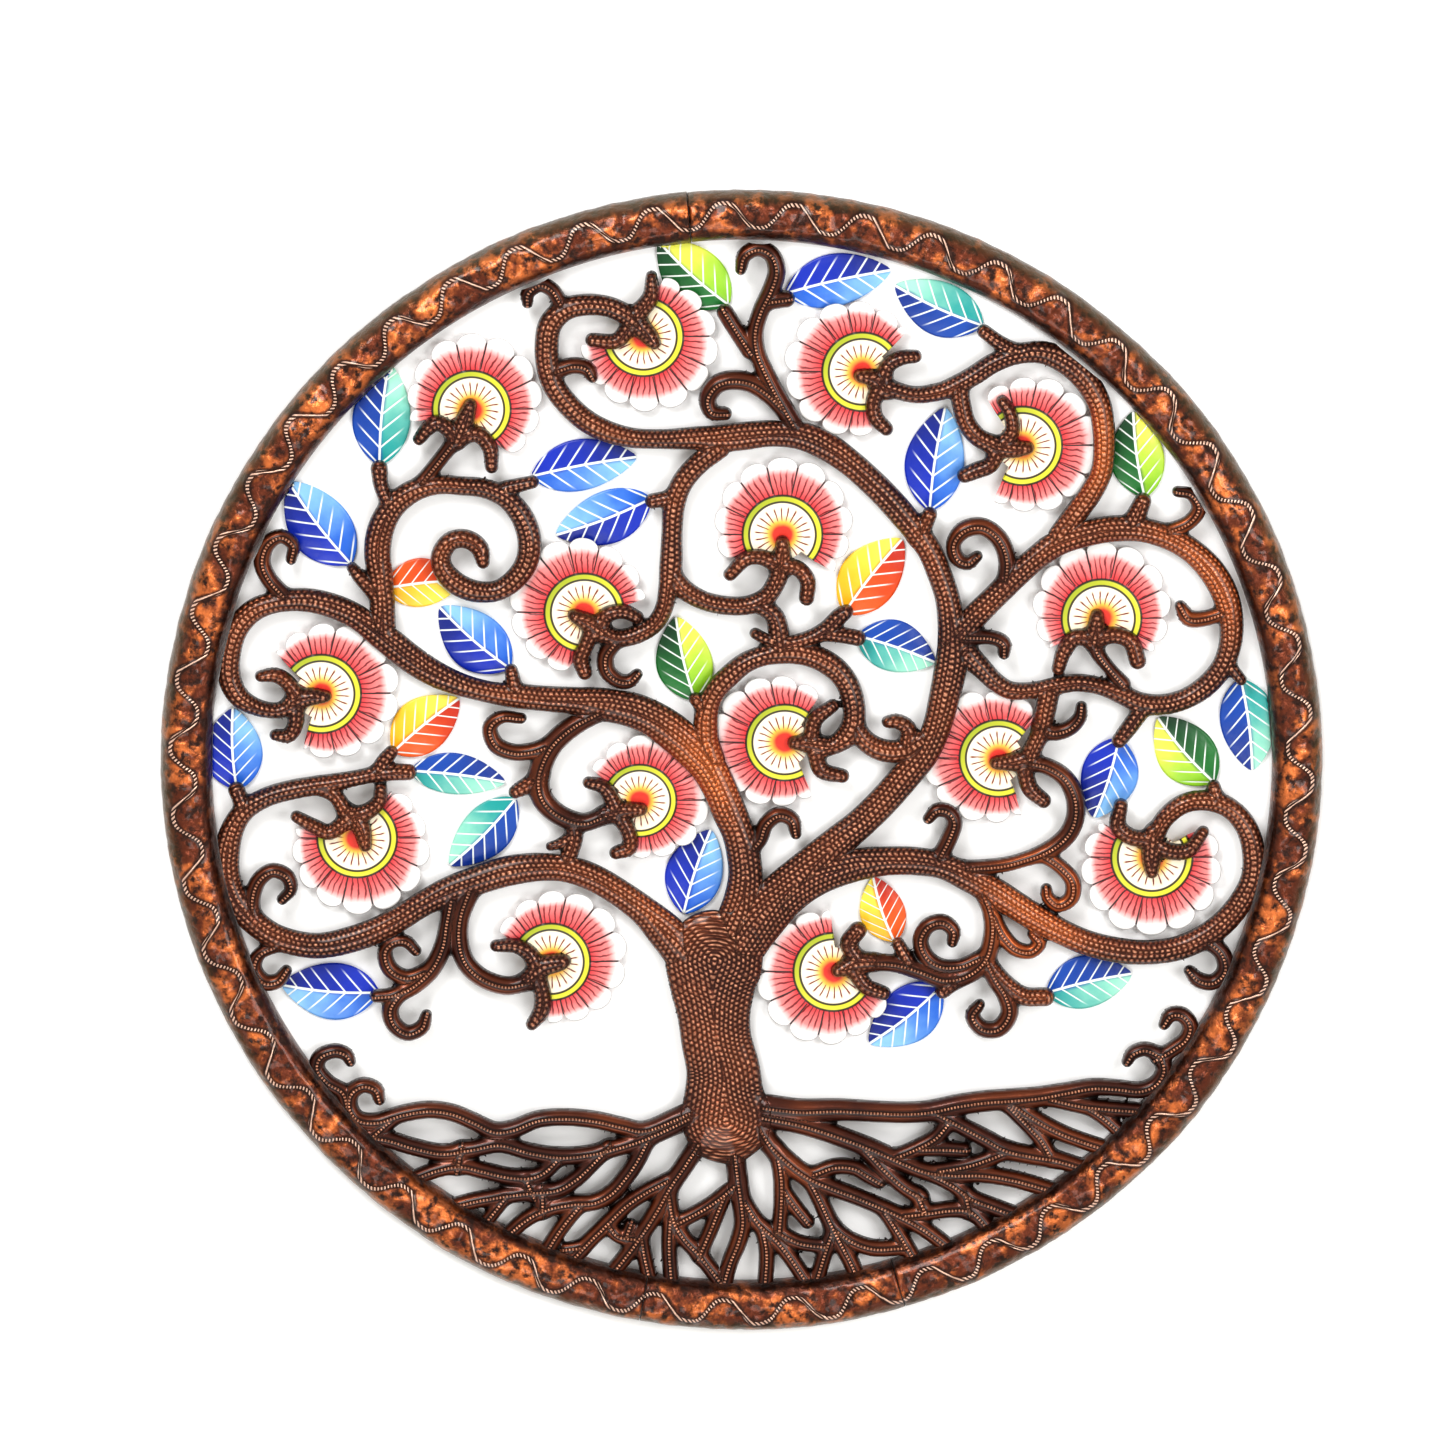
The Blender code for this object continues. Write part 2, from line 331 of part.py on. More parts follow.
        ("root", [(-22, -184, 12), (-36, -191, 11), (-49, -197, 10.5), (-62, -201.5, 10), (-78, -205.5, 9.5),
                  (-94, -207, 10), (-110, -204.5, 9.5), (-125, -200.5, 10), (-140, -203, 10),
                  (-155, -205, 9.5), (-170, -202, 9.5), (-183, -198, 9.5), (-197, -196, 9)]),
        ("root", [(-182, -188, 8.5), (-192, -197, 9)]),
        ("root", [(-174, -220.5, 8.5), (-159, -214.5, 9), (-146, -212, 9.5), (-134, -214.5, 9.5),
                  (-121, -217.5, 9.5), (-110, -218, 9.5), (-102, -215, 9), (-95, -208, 9)]),
        ("root", [(-145, -203, 9), (-147, -213, 9)]),
        ("root", [(-158, -236, 8.5), (-141, -231, 9), (-125, -228, 9.5), (-110, -226, 10), (-96, -224.5, 9.5),
                  (-86, -219, 9.5), (-78, -211.5, 9), (-69, -202, 9)]),
        ("root", [(-112, -218, 9), (-108, -227, 9)]),
        ("root", [(-122, -228, 8), (-128, -236, 8), (-137, -247, 8)]),
        ("root", [(-126, -253, 8.5), (-112, -240.5, 9), (-100, -234.5, 9.5), (-88, -232, 9.5),
                  (-76, -231, 9.5), (-67, -226, 9.5), (-60, -218, 9.5), (-54, -209, 9.5), (-48, -197, 9)]),
        ("root", [(-103, -225, 9), (-103, -236, 9)]),
        ("root", [(-84, -233, 8.5), (-92, -243, 8.5), (-98, -252, 8.5), (-106, -266, 8.5)]),
        ("root", [(-39, -220, 8.5), (-50, -226, 9), (-60, -233, 9), (-70, -243, 9), (-80, -253, 9),
                  (-90, -264, 9)]),
        ("root", [(-83, -255, 8), (-91, -256, 7.5)]),
        ("root", [(-15, -184, 13), (-21, -198, 11), (-29, -211, 10.5), (-37, -223, 10.5),
                  (-43.5, -235, 10), (-51, -247, 9.5), (-58, -257, 9), (-69, -271, 9)]),
        ("root", [(-69, -243, 8), (-64, -249, 8), (-55, -250.5, 8)]),
        ("root", [(-60, -250, 7.5), (-57.5, -243, 6.5)]),
        ("root", [(-52, -249, 8), (-50, -261, 8.5), (-46, -278, 8.5)]),
        ("root", [(-38, -225, 9), (-35.5, -240, 9), (-30, -250, 9), (-21, -260, 9), (-8, -277, 8.5)]),
        ("root", [(-37, -240, 8.5), (-37.5, -256, 8.5), (-36, -277, 8.5)]),
        ("root", [(-2, -221, 8.5), (-12, -229.5, 8.5), (-21, -235.5, 8.5), (-33, -242, 8.5)]),
        ("root", [(-9, -228, 7.5), (-13, -238, 8.5), (-17, -248, 8.5), (-22, -260, 8)]),
    ],
}

# Where one piece meets another, the piece later in this order gives way.
ORDER = ["trunk", "bough_right", "bough_left", "limb_lower_left", "limb_lower_right", "limb_right",
         "limb_upper_right", "limb_upper_left", "limb_centre", "limb_middle", "limb_loop",
         "limb_spiral", "tendril_top", "roots_right", "roots_left"]

# Flowers: centre across, centre up, the way to the calyx in degrees, and size.
FLOWERS = {
    "flower_01": (-137.7, 190.5, 250, 0.98),
    "flower_02": (-47.5, 220.1, 130, 1.0),
    "flower_03": (57.3, 206.9, 345, 1.0),
    "flower_04": (149.7, 167.2, 185, 1.0),
    "flower_05": (21.5, 125.0, 265, 1.0),
    "flower_06": (-84.8, 82.6, 315, 1.0),
    "flower_07": (-212.4, 37.7, 195, 1.0),
    "flower_08": (186.0, 81.0, 268, 1.0),
    "flower_09": (17.4, 11.2, 355, 0.97),
    "flower_10": (-48.5, -17.9, 205, 0.92),
    "flower_11": (127.9, 3.3, 350, 0.98),
    "flower_12": (-196.9, -44.3, 112, 1.0),
    "flower_13": (211.9, -54.9, 88, 1.02),
    "flower_14": (-94.2, -102.5, 208, 0.98),
    "flower_15": (43.3, -113.0, 35, 1.0),
}

# Leaves: base, tip, and the width next to the usual one.
LEAVES = {
    "leaf_01": (-187, 156, -182, 209, 1.0),
    "leaf_02": (-7, 240, -43, 273, 1.02),
    "leaf_03": (23, 246, 77, 258, 0.92),
    "leaf_04": (124, 229, 79, 250, 0.94),
    "leaf_05": (-202, 104, -234, 147, 1.06),
    "leaf_06": (-108, 150, -54, 160, 0.9),
    "leaf_07": (-47, 138, -96, 119, 0.92),
    "leaf_08": (97, 132, 105, 186, 1.02),
    "leaf_09": (208, 139, 202, 184, 0.93),
    "leaf_10": (-184, 91, -144, 95, 0.85),
    "leaf_11": (-120, 49, -156, 81, 1.0),
    "leaf_12": (-24, 32, -34, 76, 0.97),
    "leaf_13": (53, 78, 83, 117, 1.02),
    "leaf_14": (60, 66, 100, 52, 0.9),
    "leaf_15": (-261, -15, -263, 28, 1.03),
    "leaf_16": (-180, 5, -146, 33, 0.95),
    "leaf_17": (-171, -5, -122, -11, 0.72),
    "leaf_18": (-117, -20, -151, -55, 0.86),
    "leaf_19": (-30, -80, -16, -36, 0.98),
    "leaf_20": (258, 43, 264, -5, 0.98),
    "leaf_21": (244, -11, 215, 23, 1.0),
    "leaf_22": (195, 12, 182, -30, 0.98),
    "leaf_23": (79, -95, 68, -61, 0.78),
    "leaf_24": (-188, -122, -238, -118, 1.0),
    "leaf_25": (103, -119, 66, -149, 0.97),
    "leaf_26": (158, -122, 202, -112, 0.92),
}

PAINT = {
    "blue": (0.008, 0.045, 0.42, 1.0),
    "teal": (0.02, 0.32, 0.36, 1.0),
    "green": (0.02, 0.30, 0.03, 1.0),
    "orange": (0.85, 0.22, 0.01, 1.0),
}
LEAF_PAINT = {1: "teal", 2: "green", 4: "teal", 9: "green", 10: "orange", 11: "teal", 12: "green",
              13: "orange", 14: "teal", 16: "orange", 17: "teal", 18: "teal", 20: "teal",
              21: "green", 23: "orange", 26: "teal"}


def clear_scene():
    for thing in list(bpy.data.objects):
        bpy.data.objects.remove(thing, do_unlink=True)


def new_collection(name):
    made = bpy.data.collections.new(name)
    bpy.context.scene.collection.children.link(made)
    return made


def make_material(name, colour, roughness, metallic):
    made = bpy.data.materials.new(name)
    made.use_nodes = True
    shader = made.node_tree.nodes["Principled BSDF"]
    shader.inputs["Base Color"].default_value = colour
    shader.inputs["Roughness"].default_value = roughness
    shader.inputs["Metallic"].default_value = metallic
    return made


def smooth_line(points, step):
    """Points read from a smooth curve through the given ones, about one step apart."""
    if len(points) < 3:
        return [Vector(p) for p in points]
    given = [Vector(p) for p in points]
    given = [given[0] * 2 - given[1]] + given + [given[-1] * 2 - given[-2]]
    fine = []
    for index in range(1, len(given) - 2):
        before, start, end, after = given[index - 1:index + 3]
        for part in range(8):
            t = part / 8.0
            spot = 0.5 * ((2 * start) + (end - before) * t
                          + (2 * before - 5 * start + 4 * end - after) * t * t
                          + (3 * start - before - 3 * end + after) * t * t * t)
            fine.append(spot)
    fine.append(given[-2])
    travel = [0.0]
    for index in range(1, len(fine)):
        travel.append(travel[-1] + (fine[index].xy - fine[index - 1].xy).length)
    count = max(2, round(travel[-1] / step))
    line = []
    for index in range(count + 1):
        goal = travel[-1] * index / count
        place = 1
        while place < len(fine) - 1 and travel[place] < goal:
            place += 1
        span = travel[place] - travel[place - 1]
        share = 0.0 if span < 1e-9 else (goal - travel[place - 1]) / span
        line.append(fine[place - 1].lerp(fine[place], share))
    return line


def turn_step(points):
    """Tight curls take points closer together than long limbs do."""
    widest = max(p[2] for p in points)
    total = sum((Vector(b[:2]) - Vector(a[:2])).length for a, b in zip(points, points[1:]))
    chord = (Vector(points[-1][:2]) - Vector(points[0][:2])).length
    bend = chord / max(total, 1e-6)
    if bend < 0.55 and widest < 11:
        return STEP * 0.6
    return STEP


def strand_line(family, points):
    factor = WIDTH_NOW[family] / WIDTH_BASE[family]
    scaled = [(p[0] * LAYOUT, p[1] * LAYOUT, p[2] * factor) for p in points]
    return smooth_line(scaled, turn_step(scaled) * LAYOUT)


def profile_curve(name, outline, home):
    data = bpy.data.curves.new(name, "CURVE")
    data.dimensions = "2D"
    data.fill_mode = "NONE"
    spline = data.splines.new("POLY")
    spline.points.add(len(outline) - 1)
    for point, (across, up) in zip(spline.points, outline):
        point.co = (across, up, 0.0, 1.0)
    spline.use_cyclic_u = True
    thing = bpy.data.objects.new(name, data)
    home.objects.link(thing)
    thing.hide_render = True
    thing.display_type = "WIRE"
    return thing


def sweep(name, line, profile, depth, home, longer=0.0):
    """Sweeps a closed profile along a line of points, as wide as the line's third value."""
    data = bpy.data.curves.new(name, "CURVE")
    data.dimensions = "3D"
    data.twist_mode = "Z_UP"
    data.bevel_mode = "OBJECT"
    data.bevel_object = profile
    data.use_fill_caps = True
    spline = data.splines.new("POLY")
    spots = [Vector(p) for p in line]
    if longer:
        start = (spots[0].xy - spots[1].xy).normalized() * longer
        end = (spots[-1].xy - spots[-2].xy).normalized() * longer
        spots[0] = Vector((spots[0].x + start.x, spots[0].y + start.y, spots[0].z))
        spots[-1] = Vector((spots[-1].x + end.x, spots[-1].y + end.y, spots[-1].z))
    spline.points.add(len(spots) - 1)
    for point, spot in zip(spline.points, spots):
        point.co = (spot.x * MM, spot.y * MM, 0.0, 1.0)
        point.radius = spot.z
    curve = bpy.data.objects.new(name + "_path", data)
    home.objects.link(curve)
    bpy.context.view_layer.update()
    found = curve.evaluated_get(bpy.context.evaluated_depsgraph_get())
    mesh = bpy.data.meshes.new_from_object(found)
    bpy.data.objects.remove(curve, do_unlink=True)
    work = bmesh.new()
    work.from_mesh(mesh)
    bmesh.ops.remove_doubles(work, verts=work.verts, dist=0.00001)
    bmesh.ops.recalc_face_normals(work, faces=work.faces)
    # The plan lies in XY while it is swept. Here it stands up and moves to its depth.
    stand = Matrix(((1, 0, 0, 0), (0, 0, -1, (WALL_PLANE - depth) * MM), (0, 1, 0, 0), (0, 0, 0, 1)))
    bmesh.ops.transform(work, matrix=stand, verts=work.verts)
    work.to_mesh(mesh)
    work.free()
    return mesh


def add_object(name, mesh, home, material=None):
    thing = bpy.data.objects.new(name, mesh)
    home.objects.link(thing)
    if material:
        thing.data.materials.append(material)
    return thing


def as_cutter(thing):
    thing.hide_render = True
    thing.display_type = "WIRE"


def add_boolean(thing, name, operation, collection=None, other=None):
    cut = thing.modifiers.new(name, "BOOLEAN")
    cut.operation = operation
    cut.solver = "EXACT"
    if collection:
        cut.operand_type = "COLLECTION"
        cut.collection = collection
    else:
        cut.object = other
    return cut


def outer_height(family):
    return TRUNK_HEIGHT if family == "trunk" else LIMB_HEIGHT


def make_outside_ring(name, home):
    """Everything past the rim's inner edge, for trimming what meets it."""
    work = bmesh.new()
    near = (INNER_RADIUS - GAP) * MM
    far = (RING_OUTER_DIAMETER / 2.0 + 60.0) * MM
    front = -60.0 * MM
    back = 30.0 * MM
    corners = [(near, 0, front), (far, 0, front), (far, 0, back), (near, 0, back)]
    verts = [work.verts.new(c) for c in corners]
    edges = [work.edges.new((verts[i], verts[(i + 1) % 4])) for i in range(4)]
    bmesh.ops.spin(work, geom=verts + edges, cent=(0, 0, 0), axis=(0, 0, 1), dvec=(0, 0, 0),
                   angle=math.tau, steps=RIM_STEPS_FULL_TURN, use_merge=True, use_duplicate=False)
    bmesh.ops.remove_doubles(work, verts=work.verts, dist=0.000001)
    bmesh.ops.recalc_face_normals(work, faces=work.faces)
    stand = Matrix.Rotation(math.radians(90.0), 4, "X")
    bmesh.ops.transform(work, matrix=stand, verts=work.verts)
    mesh = bpy.data.meshes.new(name)
    work.to_mesh(mesh)
    work.free()
    thing = add_object(name, mesh, home)
    as_cutter(thing)
    return thing


def make_rim(name, start, end, home, material):
    """One strip of the half-round rim, turned about the ring's own axis."""
    outer = RING_OUTER_DIAMETER / 2.0
    middle = outer - RIM_WIDTH / 2.0
    half = RIM_WIDTH / 2.0
    arc = []
    for index in range(6):
        angle = math.pi * index / 5.0
        arc.append((middle + half * math.cos(angle), RIM_HEIGHT * math.sin(angle)))
    inside = []
    for index in range(6):
        angle = math.pi * (5 - index) / 5.0
        spot = (middle + (half - SHEET) * math.cos(angle), (RIM_HEIGHT - SHEET) * math.sin(angle))
        inside.append(spot)
    gap = math.degrees(SEAM_GAP / 2.0 / outer)
    sweep_angle = end - start - 2.0 * gap
    steps = max(4, round(RIM_STEPS_FULL_TURN * sweep_angle / 360.0))
    work = bmesh.new()
    verts = [work.verts.new((r * MM, 0.0, (h - WALL_PLANE) * MM)) for r, h in arc + inside]
    count = len(verts)
    for index in range(count):
        work.edges.new((verts[index], verts[(index + 1) % count]))
    turned = bmesh.ops.spin(work, geom=work.verts[:] + work.edges[:], cent=(0, 0, 0),
                            axis=(0, 0, 1), dvec=(0, 0, 0), angle=math.radians(sweep_angle),
                            steps=steps, use_merge=False, use_duplicate=False)
    ends = [[e for e in work.edges if e.is_boundary]]
    bmesh.ops.holes_fill(work, edges=ends[0], sides=0)
    bmesh.ops.triangulate(work, faces=[f for f in work.faces if len(f.verts) > 4])
    bmesh.ops.recalc_face_normals(work, faces=work.faces)
    del turned
    place = Matrix.Rotation(math.radians(90.0), 4, "X")
    place = place @ Matrix.Rotation(math.radians(start + gap), 4, "Z")
    bmesh.ops.transform(work, matrix=place, verts=work.verts)
    mesh = bpy.data.meshes.new(name)
    work.to_mesh(mesh)
    work.free()
    return add_object(name, mesh, home, material)


def make_flower(name, spec, home, material):
    """A domed disc with a scalloped fan of petals, open towards its calyx."""
    across, up, open_to, size = spec
    across *= LAYOUT
    up *= LAYOUT
    radii = [0.0, FLOWER_RING_RADIUS * size, PETAL_RADIUS * size]
    work = bmesh.new()
    steps = PETAL_COUNT * 2
    verts = []
    for radius in radii:
        rise = FLOWER_RISE * (1.0 - (radius / (PETAL_RADIUS * size)) ** 2)
        verts.append(work.verts.new((radius * MM, 0.0, rise * MM)))
    edges = [work.edges.new((verts[i], verts[i + 1])) for i in range(len(verts) - 1)]
    bmesh.ops.spin(work, geom=verts + edges, cent=(0, 0, 0), axis=(0, 0, 1), dvec=(0, 0, 0),
                   angle=math.tau, steps=steps, use_merge=True, use_duplicate=False)
    bmesh.ops.remove_doubles(work, verts=work.verts, dist=0.00001)
    edge = PETAL_RADIUS * size * MM
    for vert in work.verts:
        flat = vert.co.xy.length
        if flat < edge * 0.98:
            continue
        angle = math.degrees(math.atan2(vert.co.y, vert.co.x))
        away = abs((angle - open_to + 180.0) % 360.0 - 180.0)
        index = round(angle / (360.0 / steps))
        want = edge if index % 2 == 0 else edge - PETAL_NOTCH * MM
        if away < FLOWER_OPEN_ANGLE / 2.0:
            want = (FLOWER_RING_RADIUS * size + 2.0) * MM
        vert.co.x *= want / flat
        vert.co.y *= want / flat
    bmesh.ops.recalc_face_normals(work, faces=work.faces)
    stand = Matrix.Translation((across * MM, (WALL_PLANE - FLOWER_BACK) * MM, up * MM))
    stand = stand @ Matrix.Rotation(math.radians(90.0), 4, "X")
    bmesh.ops.transform(work, matrix=stand, verts=work.verts)
    front = sum(f.normal.y * f.calc_area() for f in work.faces)
    if front > 0:
        bmesh.ops.reverse_faces(work, faces=work.faces)
    mesh = bpy.data.meshes.new(name)
    work.to_mesh(mesh)
    work.free()
    thing = add_object(name, mesh, home, material)
    plate = thing.modifiers.new("sheet", "SOLIDIFY")
    plate.thickness = SHEET * MM
    plate.offset = 1.0
    return thing


def make_leaf(name, spec, home, material, outside):
    """A pointed oval plate with a low rise along its midrib."""
    base = Vector((spec[0], spec[1])) * LAYOUT
    tip = Vector((spec[2], spec[3])) * LAYOUT
    natural = (tip - base).length
    along = (tip - base).normalized()
    length = natural * LEAF_LENGTH / 50.0
    tip = base + along * length
    half = LEAF_WIDTH * spec[4] / 2.0
    side = Vector((-along.y, along.x))
    work = bmesh.new()
    bmesh.ops.create_grid(work, x_segments=5, y_segments=2, size=1.0)
    for vert in work.verts:
        share = (vert.co.x + 1.0) / 2.0
        wide = math.sin(math.pi * share ** 0.86) ** 0.72 if 0.0 < share < 1.0 else 0.0
        wide = max(wide, 0.16 if share <= 0.0 else 0.0)
        spot = base + along * (length * share) + side * (half * wide * vert.co.y)
        crown = (1.0 - vert.co.y ** 2) * math.sin(math.pi * min(max(share, 0.0), 1.0))
        vert.co = (spot.x * MM, (WALL_PLANE - LEAF_BACK - LEAF_RISE * crown) * MM, spot.y * MM)
    bmesh.ops.remove_doubles(work, verts=work.verts, dist=0.00001)
    bmesh.ops.recalc_face_normals(work, faces=work.faces)
    front = sum(f.normal.y * f.calc_area() for f in work.faces)
    if front > 0:
        bmesh.ops.reverse_faces(work, faces=work.faces)
    mesh = bpy.data.meshes.new(name)
    work.to_mesh(mesh)
    work.free()
    thing = add_object(name, mesh, home, material)
    plate = thing.modifiers.new("sheet", "SOLIDIFY")
    plate.thickness = SHEET * MM
    plate.offset = 1.0
    reach = max(tip.length, max((base + along * (length * s) + side * half * t).length
                                for s in (0.3, 0.5, 0.7, 0.9) for t in (-1, 1)))
    if reach > INNER_RADIUS - 1.5:
        add_boolean(thing, "rim_edge", "DIFFERENCE", other=outside)
    return thing


def bounds_of(lines):
    xs = [p.x for line in lines for p in line]
    zs = [p.y for line in lines for p in line]
    wide = max(p.z for line in lines for p in line)
    return min(xs) - wide, max(xs) + wide, min(zs) - wide, max(zs) + wide


def build():
    clear_scene()
    parts = new_collection("tree_of_life_wall_plaque")
    cutters = new_collection("cutters")

    bronze = make_material("coppery brown lacquer", (0.16, 0.055, 0.02, 1.0), 0.35, 0.75)
    dark = make_material("dark brown lacquer", (0.09, 0.03, 0.014, 1.0), 0.38, 0.7)
    petal = make_material("enamel petals", (0.85, 0.30, 0.26, 1.0), 0.32, 0.0)
    leaf_paint = {key: make_material("enamel " + key, value, 0.32, 0.0) for key, value in PAINT.items()}

    make_rim("rim_left", SEAM_TOP, SEAM_LOWER_LEFT, parts, bronze)
    make_rim("rim_bottom", SEAM_LOWER_LEFT, SEAM_LOWER_RIGHT, parts, bronze)
    make_rim("rim_right", SEAM_LOWER_RIGHT, SEAM_TOP + 360.0, parts, bronze)
    outside = make_outside_ring("outside_rim", cutters)

    unit = MM
    lines = {}
    for name in ORDER:
        lines[name] = [(family, strand_line(family, points)) for family, points in TREE[name]]

    ready = []
    for order, name in enumerate(ORDER):
        joined = new_collection(name + "_strands")
        hollow = new_collection(name + "_hollow")
        trims = new_collection(name + "_trims")
        first = None
        for index, (family, line) in enumerate(lines[name]):
            # Backs differ by a hair so that no two strands share a plane.
            extra = 0.02 * ((index * 7) % 13)
            widest = max(p.z for p in line)
            height = min(outer_height(family), THIN_HEIGHT_SHARE * widest) - 0.07 * ((index * 3) % 7)
            back = -extra
            outline = [(-0.5, back / widest), (0.5, back / widest),
                       (0.3, height / widest), (-0.3, height / widest)]
            outline = [(a * unit, b * unit) for a, b in outline]
            shape = profile_curve("outline", outline, cutters)
            mesh = sweep(name + "_s%02d" % index, line, shape, LIMB_BACK, cutters)
            bpy.data.objects.remove(shape, do_unlink=True)
            if first is None:
                first = add_object(name, mesh, parts, dark if name.startswith("roots") else bronze)
            else:
                as_cutter(add_object(name + "_s%02d" % index, mesh, joined))
            inner = [Vector((p.x, p.y, max(p.z - 2.0 * SHEET * 1.1, 1.6))) for p in line]
            wide = max(p.z for p in inner)
            top = height - SHEET
            outline = [(-0.5, -(extra + 1.5) / wide), (0.5, -(extra + 1.5) / wide),
                       (0.2, top / wide), (-0.2, top / wide)]
            if widest < 11.0:
                outline = outline[:2] + [(0.0, top * 1.05 / wide)]
            outline = [(a * unit, b * unit) for a, b in outline]
            shape = profile_curve("outline", outline, cutters)
            mesh = sweep(name + "_h%02d" % index, inner, shape, LIMB_BACK, cutters, longer=-SHEET)
            bpy.data.objects.remove(shape, do_unlink=True)
            as_cutter(add_object(name + "_h%02d" % index, mesh, hollow))
        box = bounds_of([line for _, line in lines[name]])
        for other in ORDER[:order]:
            for index, (family, line) in enumerate(lines[other]):
                theirs = bounds_of([line])
                if theirs[0] > box[1] or theirs[1] < box[0] or theirs[2] > box[3] or theirs[3] < box[2]:
                    continue
                near = min((a.xy - b.xy).length - (a.z + b.z) / 2.0
                           for a in line for _, mine in lines[name] for b in mine)
                if near > STEP * 0.5:
                    continue
                wider = [Vector((p.x, p.y, p.z + 2.0 * GAP)) for p in line]
                wide = max(p.z for p in wider)
                outline = [(-0.5, -8.0 / wide), (0.5, -8.0 / wide), (0.5, 24.0 / wide), (-0.5, 24.0 / wide)]
                outline = [(a * unit, b * unit) for a, b in outline]
                shape = profile_curve("outline", outline, cutters)
                mesh = sweep("trim", wider, shape, LIMB_BACK, cutters, longer=GAP)
                bpy.data.objects.remove(shape, do_unlink=True)
                as_cutter(add_object(name + "_t_" + other + "_%02d" % index, mesh, trims))
        reach = max(math.hypot(p.x, p.y) + p.z / 2.0 for _, line in lines[name] for p in line)
        ready.append((first, joined, hollow, trims, reach))

    # Cuts are added once every shape exists.
    for first, joined, hollow, trims, reach in ready:
        if len(joined.objects):
            add_boolean(first, "join", "UNION", collection=joined)
        if reach > INNER_RADIUS - 1.0:
            add_boolean(first, "rim_edge", "DIFFERENCE", other=outside)
        if len(trims.objects):
            add_boolean(first, "meet", "DIFFERENCE", collection=trims)
        add_boolean(first, "hollow", "DIFFERENCE", collection=hollow)

    for name, spec in FLOWERS.items():
        make_flower(name, spec, parts, petal)
    for name, spec in LEAVES.items():
        key = LEAF_PAINT.get(int(name[-2:]), "blue")
        make_leaf(name, spec, parts, leaf_paint[key], outside)


build()
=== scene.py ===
import math

import bmesh
import bpy
import numpy as np
from mathutils import Matrix, Vector, noise


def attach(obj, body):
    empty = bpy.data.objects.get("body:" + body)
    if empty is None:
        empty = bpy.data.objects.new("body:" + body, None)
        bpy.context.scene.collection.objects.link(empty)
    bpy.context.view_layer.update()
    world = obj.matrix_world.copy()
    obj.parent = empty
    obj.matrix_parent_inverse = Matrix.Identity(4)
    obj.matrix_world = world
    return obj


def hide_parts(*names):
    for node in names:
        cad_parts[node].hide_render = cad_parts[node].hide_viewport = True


# Round wall tree in hammered sheet steel with enamel flowers and leaves.
# The front faces -Y, the wall is at +Y. Lengths in the dictionaries are millimetres.
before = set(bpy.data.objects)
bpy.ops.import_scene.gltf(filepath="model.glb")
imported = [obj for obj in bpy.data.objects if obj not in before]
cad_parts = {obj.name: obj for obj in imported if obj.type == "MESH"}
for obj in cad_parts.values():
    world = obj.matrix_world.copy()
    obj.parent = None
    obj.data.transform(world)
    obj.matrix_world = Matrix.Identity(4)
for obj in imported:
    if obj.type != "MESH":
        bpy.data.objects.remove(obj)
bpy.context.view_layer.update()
mm = 0.001

plaque = {
    "outerRadius": 300.0,
    "innerRadius": 274.0,
    "wallPlane": 7.5,      # the wall touches the rim's back edge here
    "leafBack": 0.8,       # each layer's distance in front of the wall
    "flowerBack": 3.8,
    "limbBack": 7.6,
    "sheet": 1.0,
}


def toLinear(hexColour):
    parts = [int(hexColour[i:i + 2], 16) / 255.0 for i in (1, 3, 5)]
    return [c / 12.92 if c < 0.04045 else ((c + 0.055) / 1.055) ** 2.4 for c in parts] + [1.0]


def addNode(tree, kind, settings=None, feeds=None):
    # A feed that is a socket is linked, any other is set. Gives back the first output.
    made = tree.nodes.new("ShaderNode" + kind)
    for key, value in (settings or {}).items():
        setattr(made, key, value)
    for key, value in (feeds or {}).items():
        if isinstance(value, bpy.types.NodeSocket):
            tree.links.new(value, made.inputs[key])
        else:
            made.inputs[key].default_value = value
    return made.outputs[0] if made.outputs else made


def newMaterial(name):
    made = bpy.data.materials.new(name)
    made.use_nodes = True
    tree = made.node_tree
    tree.nodes.clear()
    return made, tree


def closeMaterial(tree, shader):
    addNode(tree, "OutputMaterial", None, {"Surface": shader})


def setAttribute(mesh, name, values, kind="FLOAT"):
    layer = mesh.attributes.new(name, kind, "POINT")
    key = "vector" if kind == "FLOAT_VECTOR" else "value"
    layer.data.foreach_set(key, np.asarray(values, dtype=np.float32).ravel())


def readPlaces(mesh):
    places = np.empty(len(mesh.vertices) * 3)
    mesh.vertices.foreach_get("co", places)
    return places.reshape(-1, 3)


def writePlaces(mesh, places):
    mesh.vertices.foreach_set("co", places.astype(np.float32).ravel())
    mesh.update()


def faceFront(mesh, weld=None):
    # Merges doubles where asked, then turns an open sheet's faces towards the viewer.
    work = bmesh.new()
    work.from_mesh(mesh)
    if weld:
        bmesh.ops.remove_doubles(work, verts=work.verts, dist=weld)
    if sum(f.normal.y * f.calc_area() for f in work.faces) > 0:
        bmesh.ops.reverse_faces(work, faces=work.faces)
    work.to_mesh(mesh)
    work.free()


def finishPiece(name, mesh, material, nodes, thickness):
    mesh.materials.append(material)
    for face in mesh.polygons:
        face.use_smooth = True
    piece = bpy.data.objects.new(name, mesh)
    bpy.context.scene.collection.objects.link(piece)
    if thickness:
        plate = piece.modifiers.new("sheet", "SOLIDIFY")
        plate.thickness = thickness * mm
        plate.offset = -1.0
        plate.use_even_offset = False
    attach(piece, "root")
    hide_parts(*nodes)
    return piece


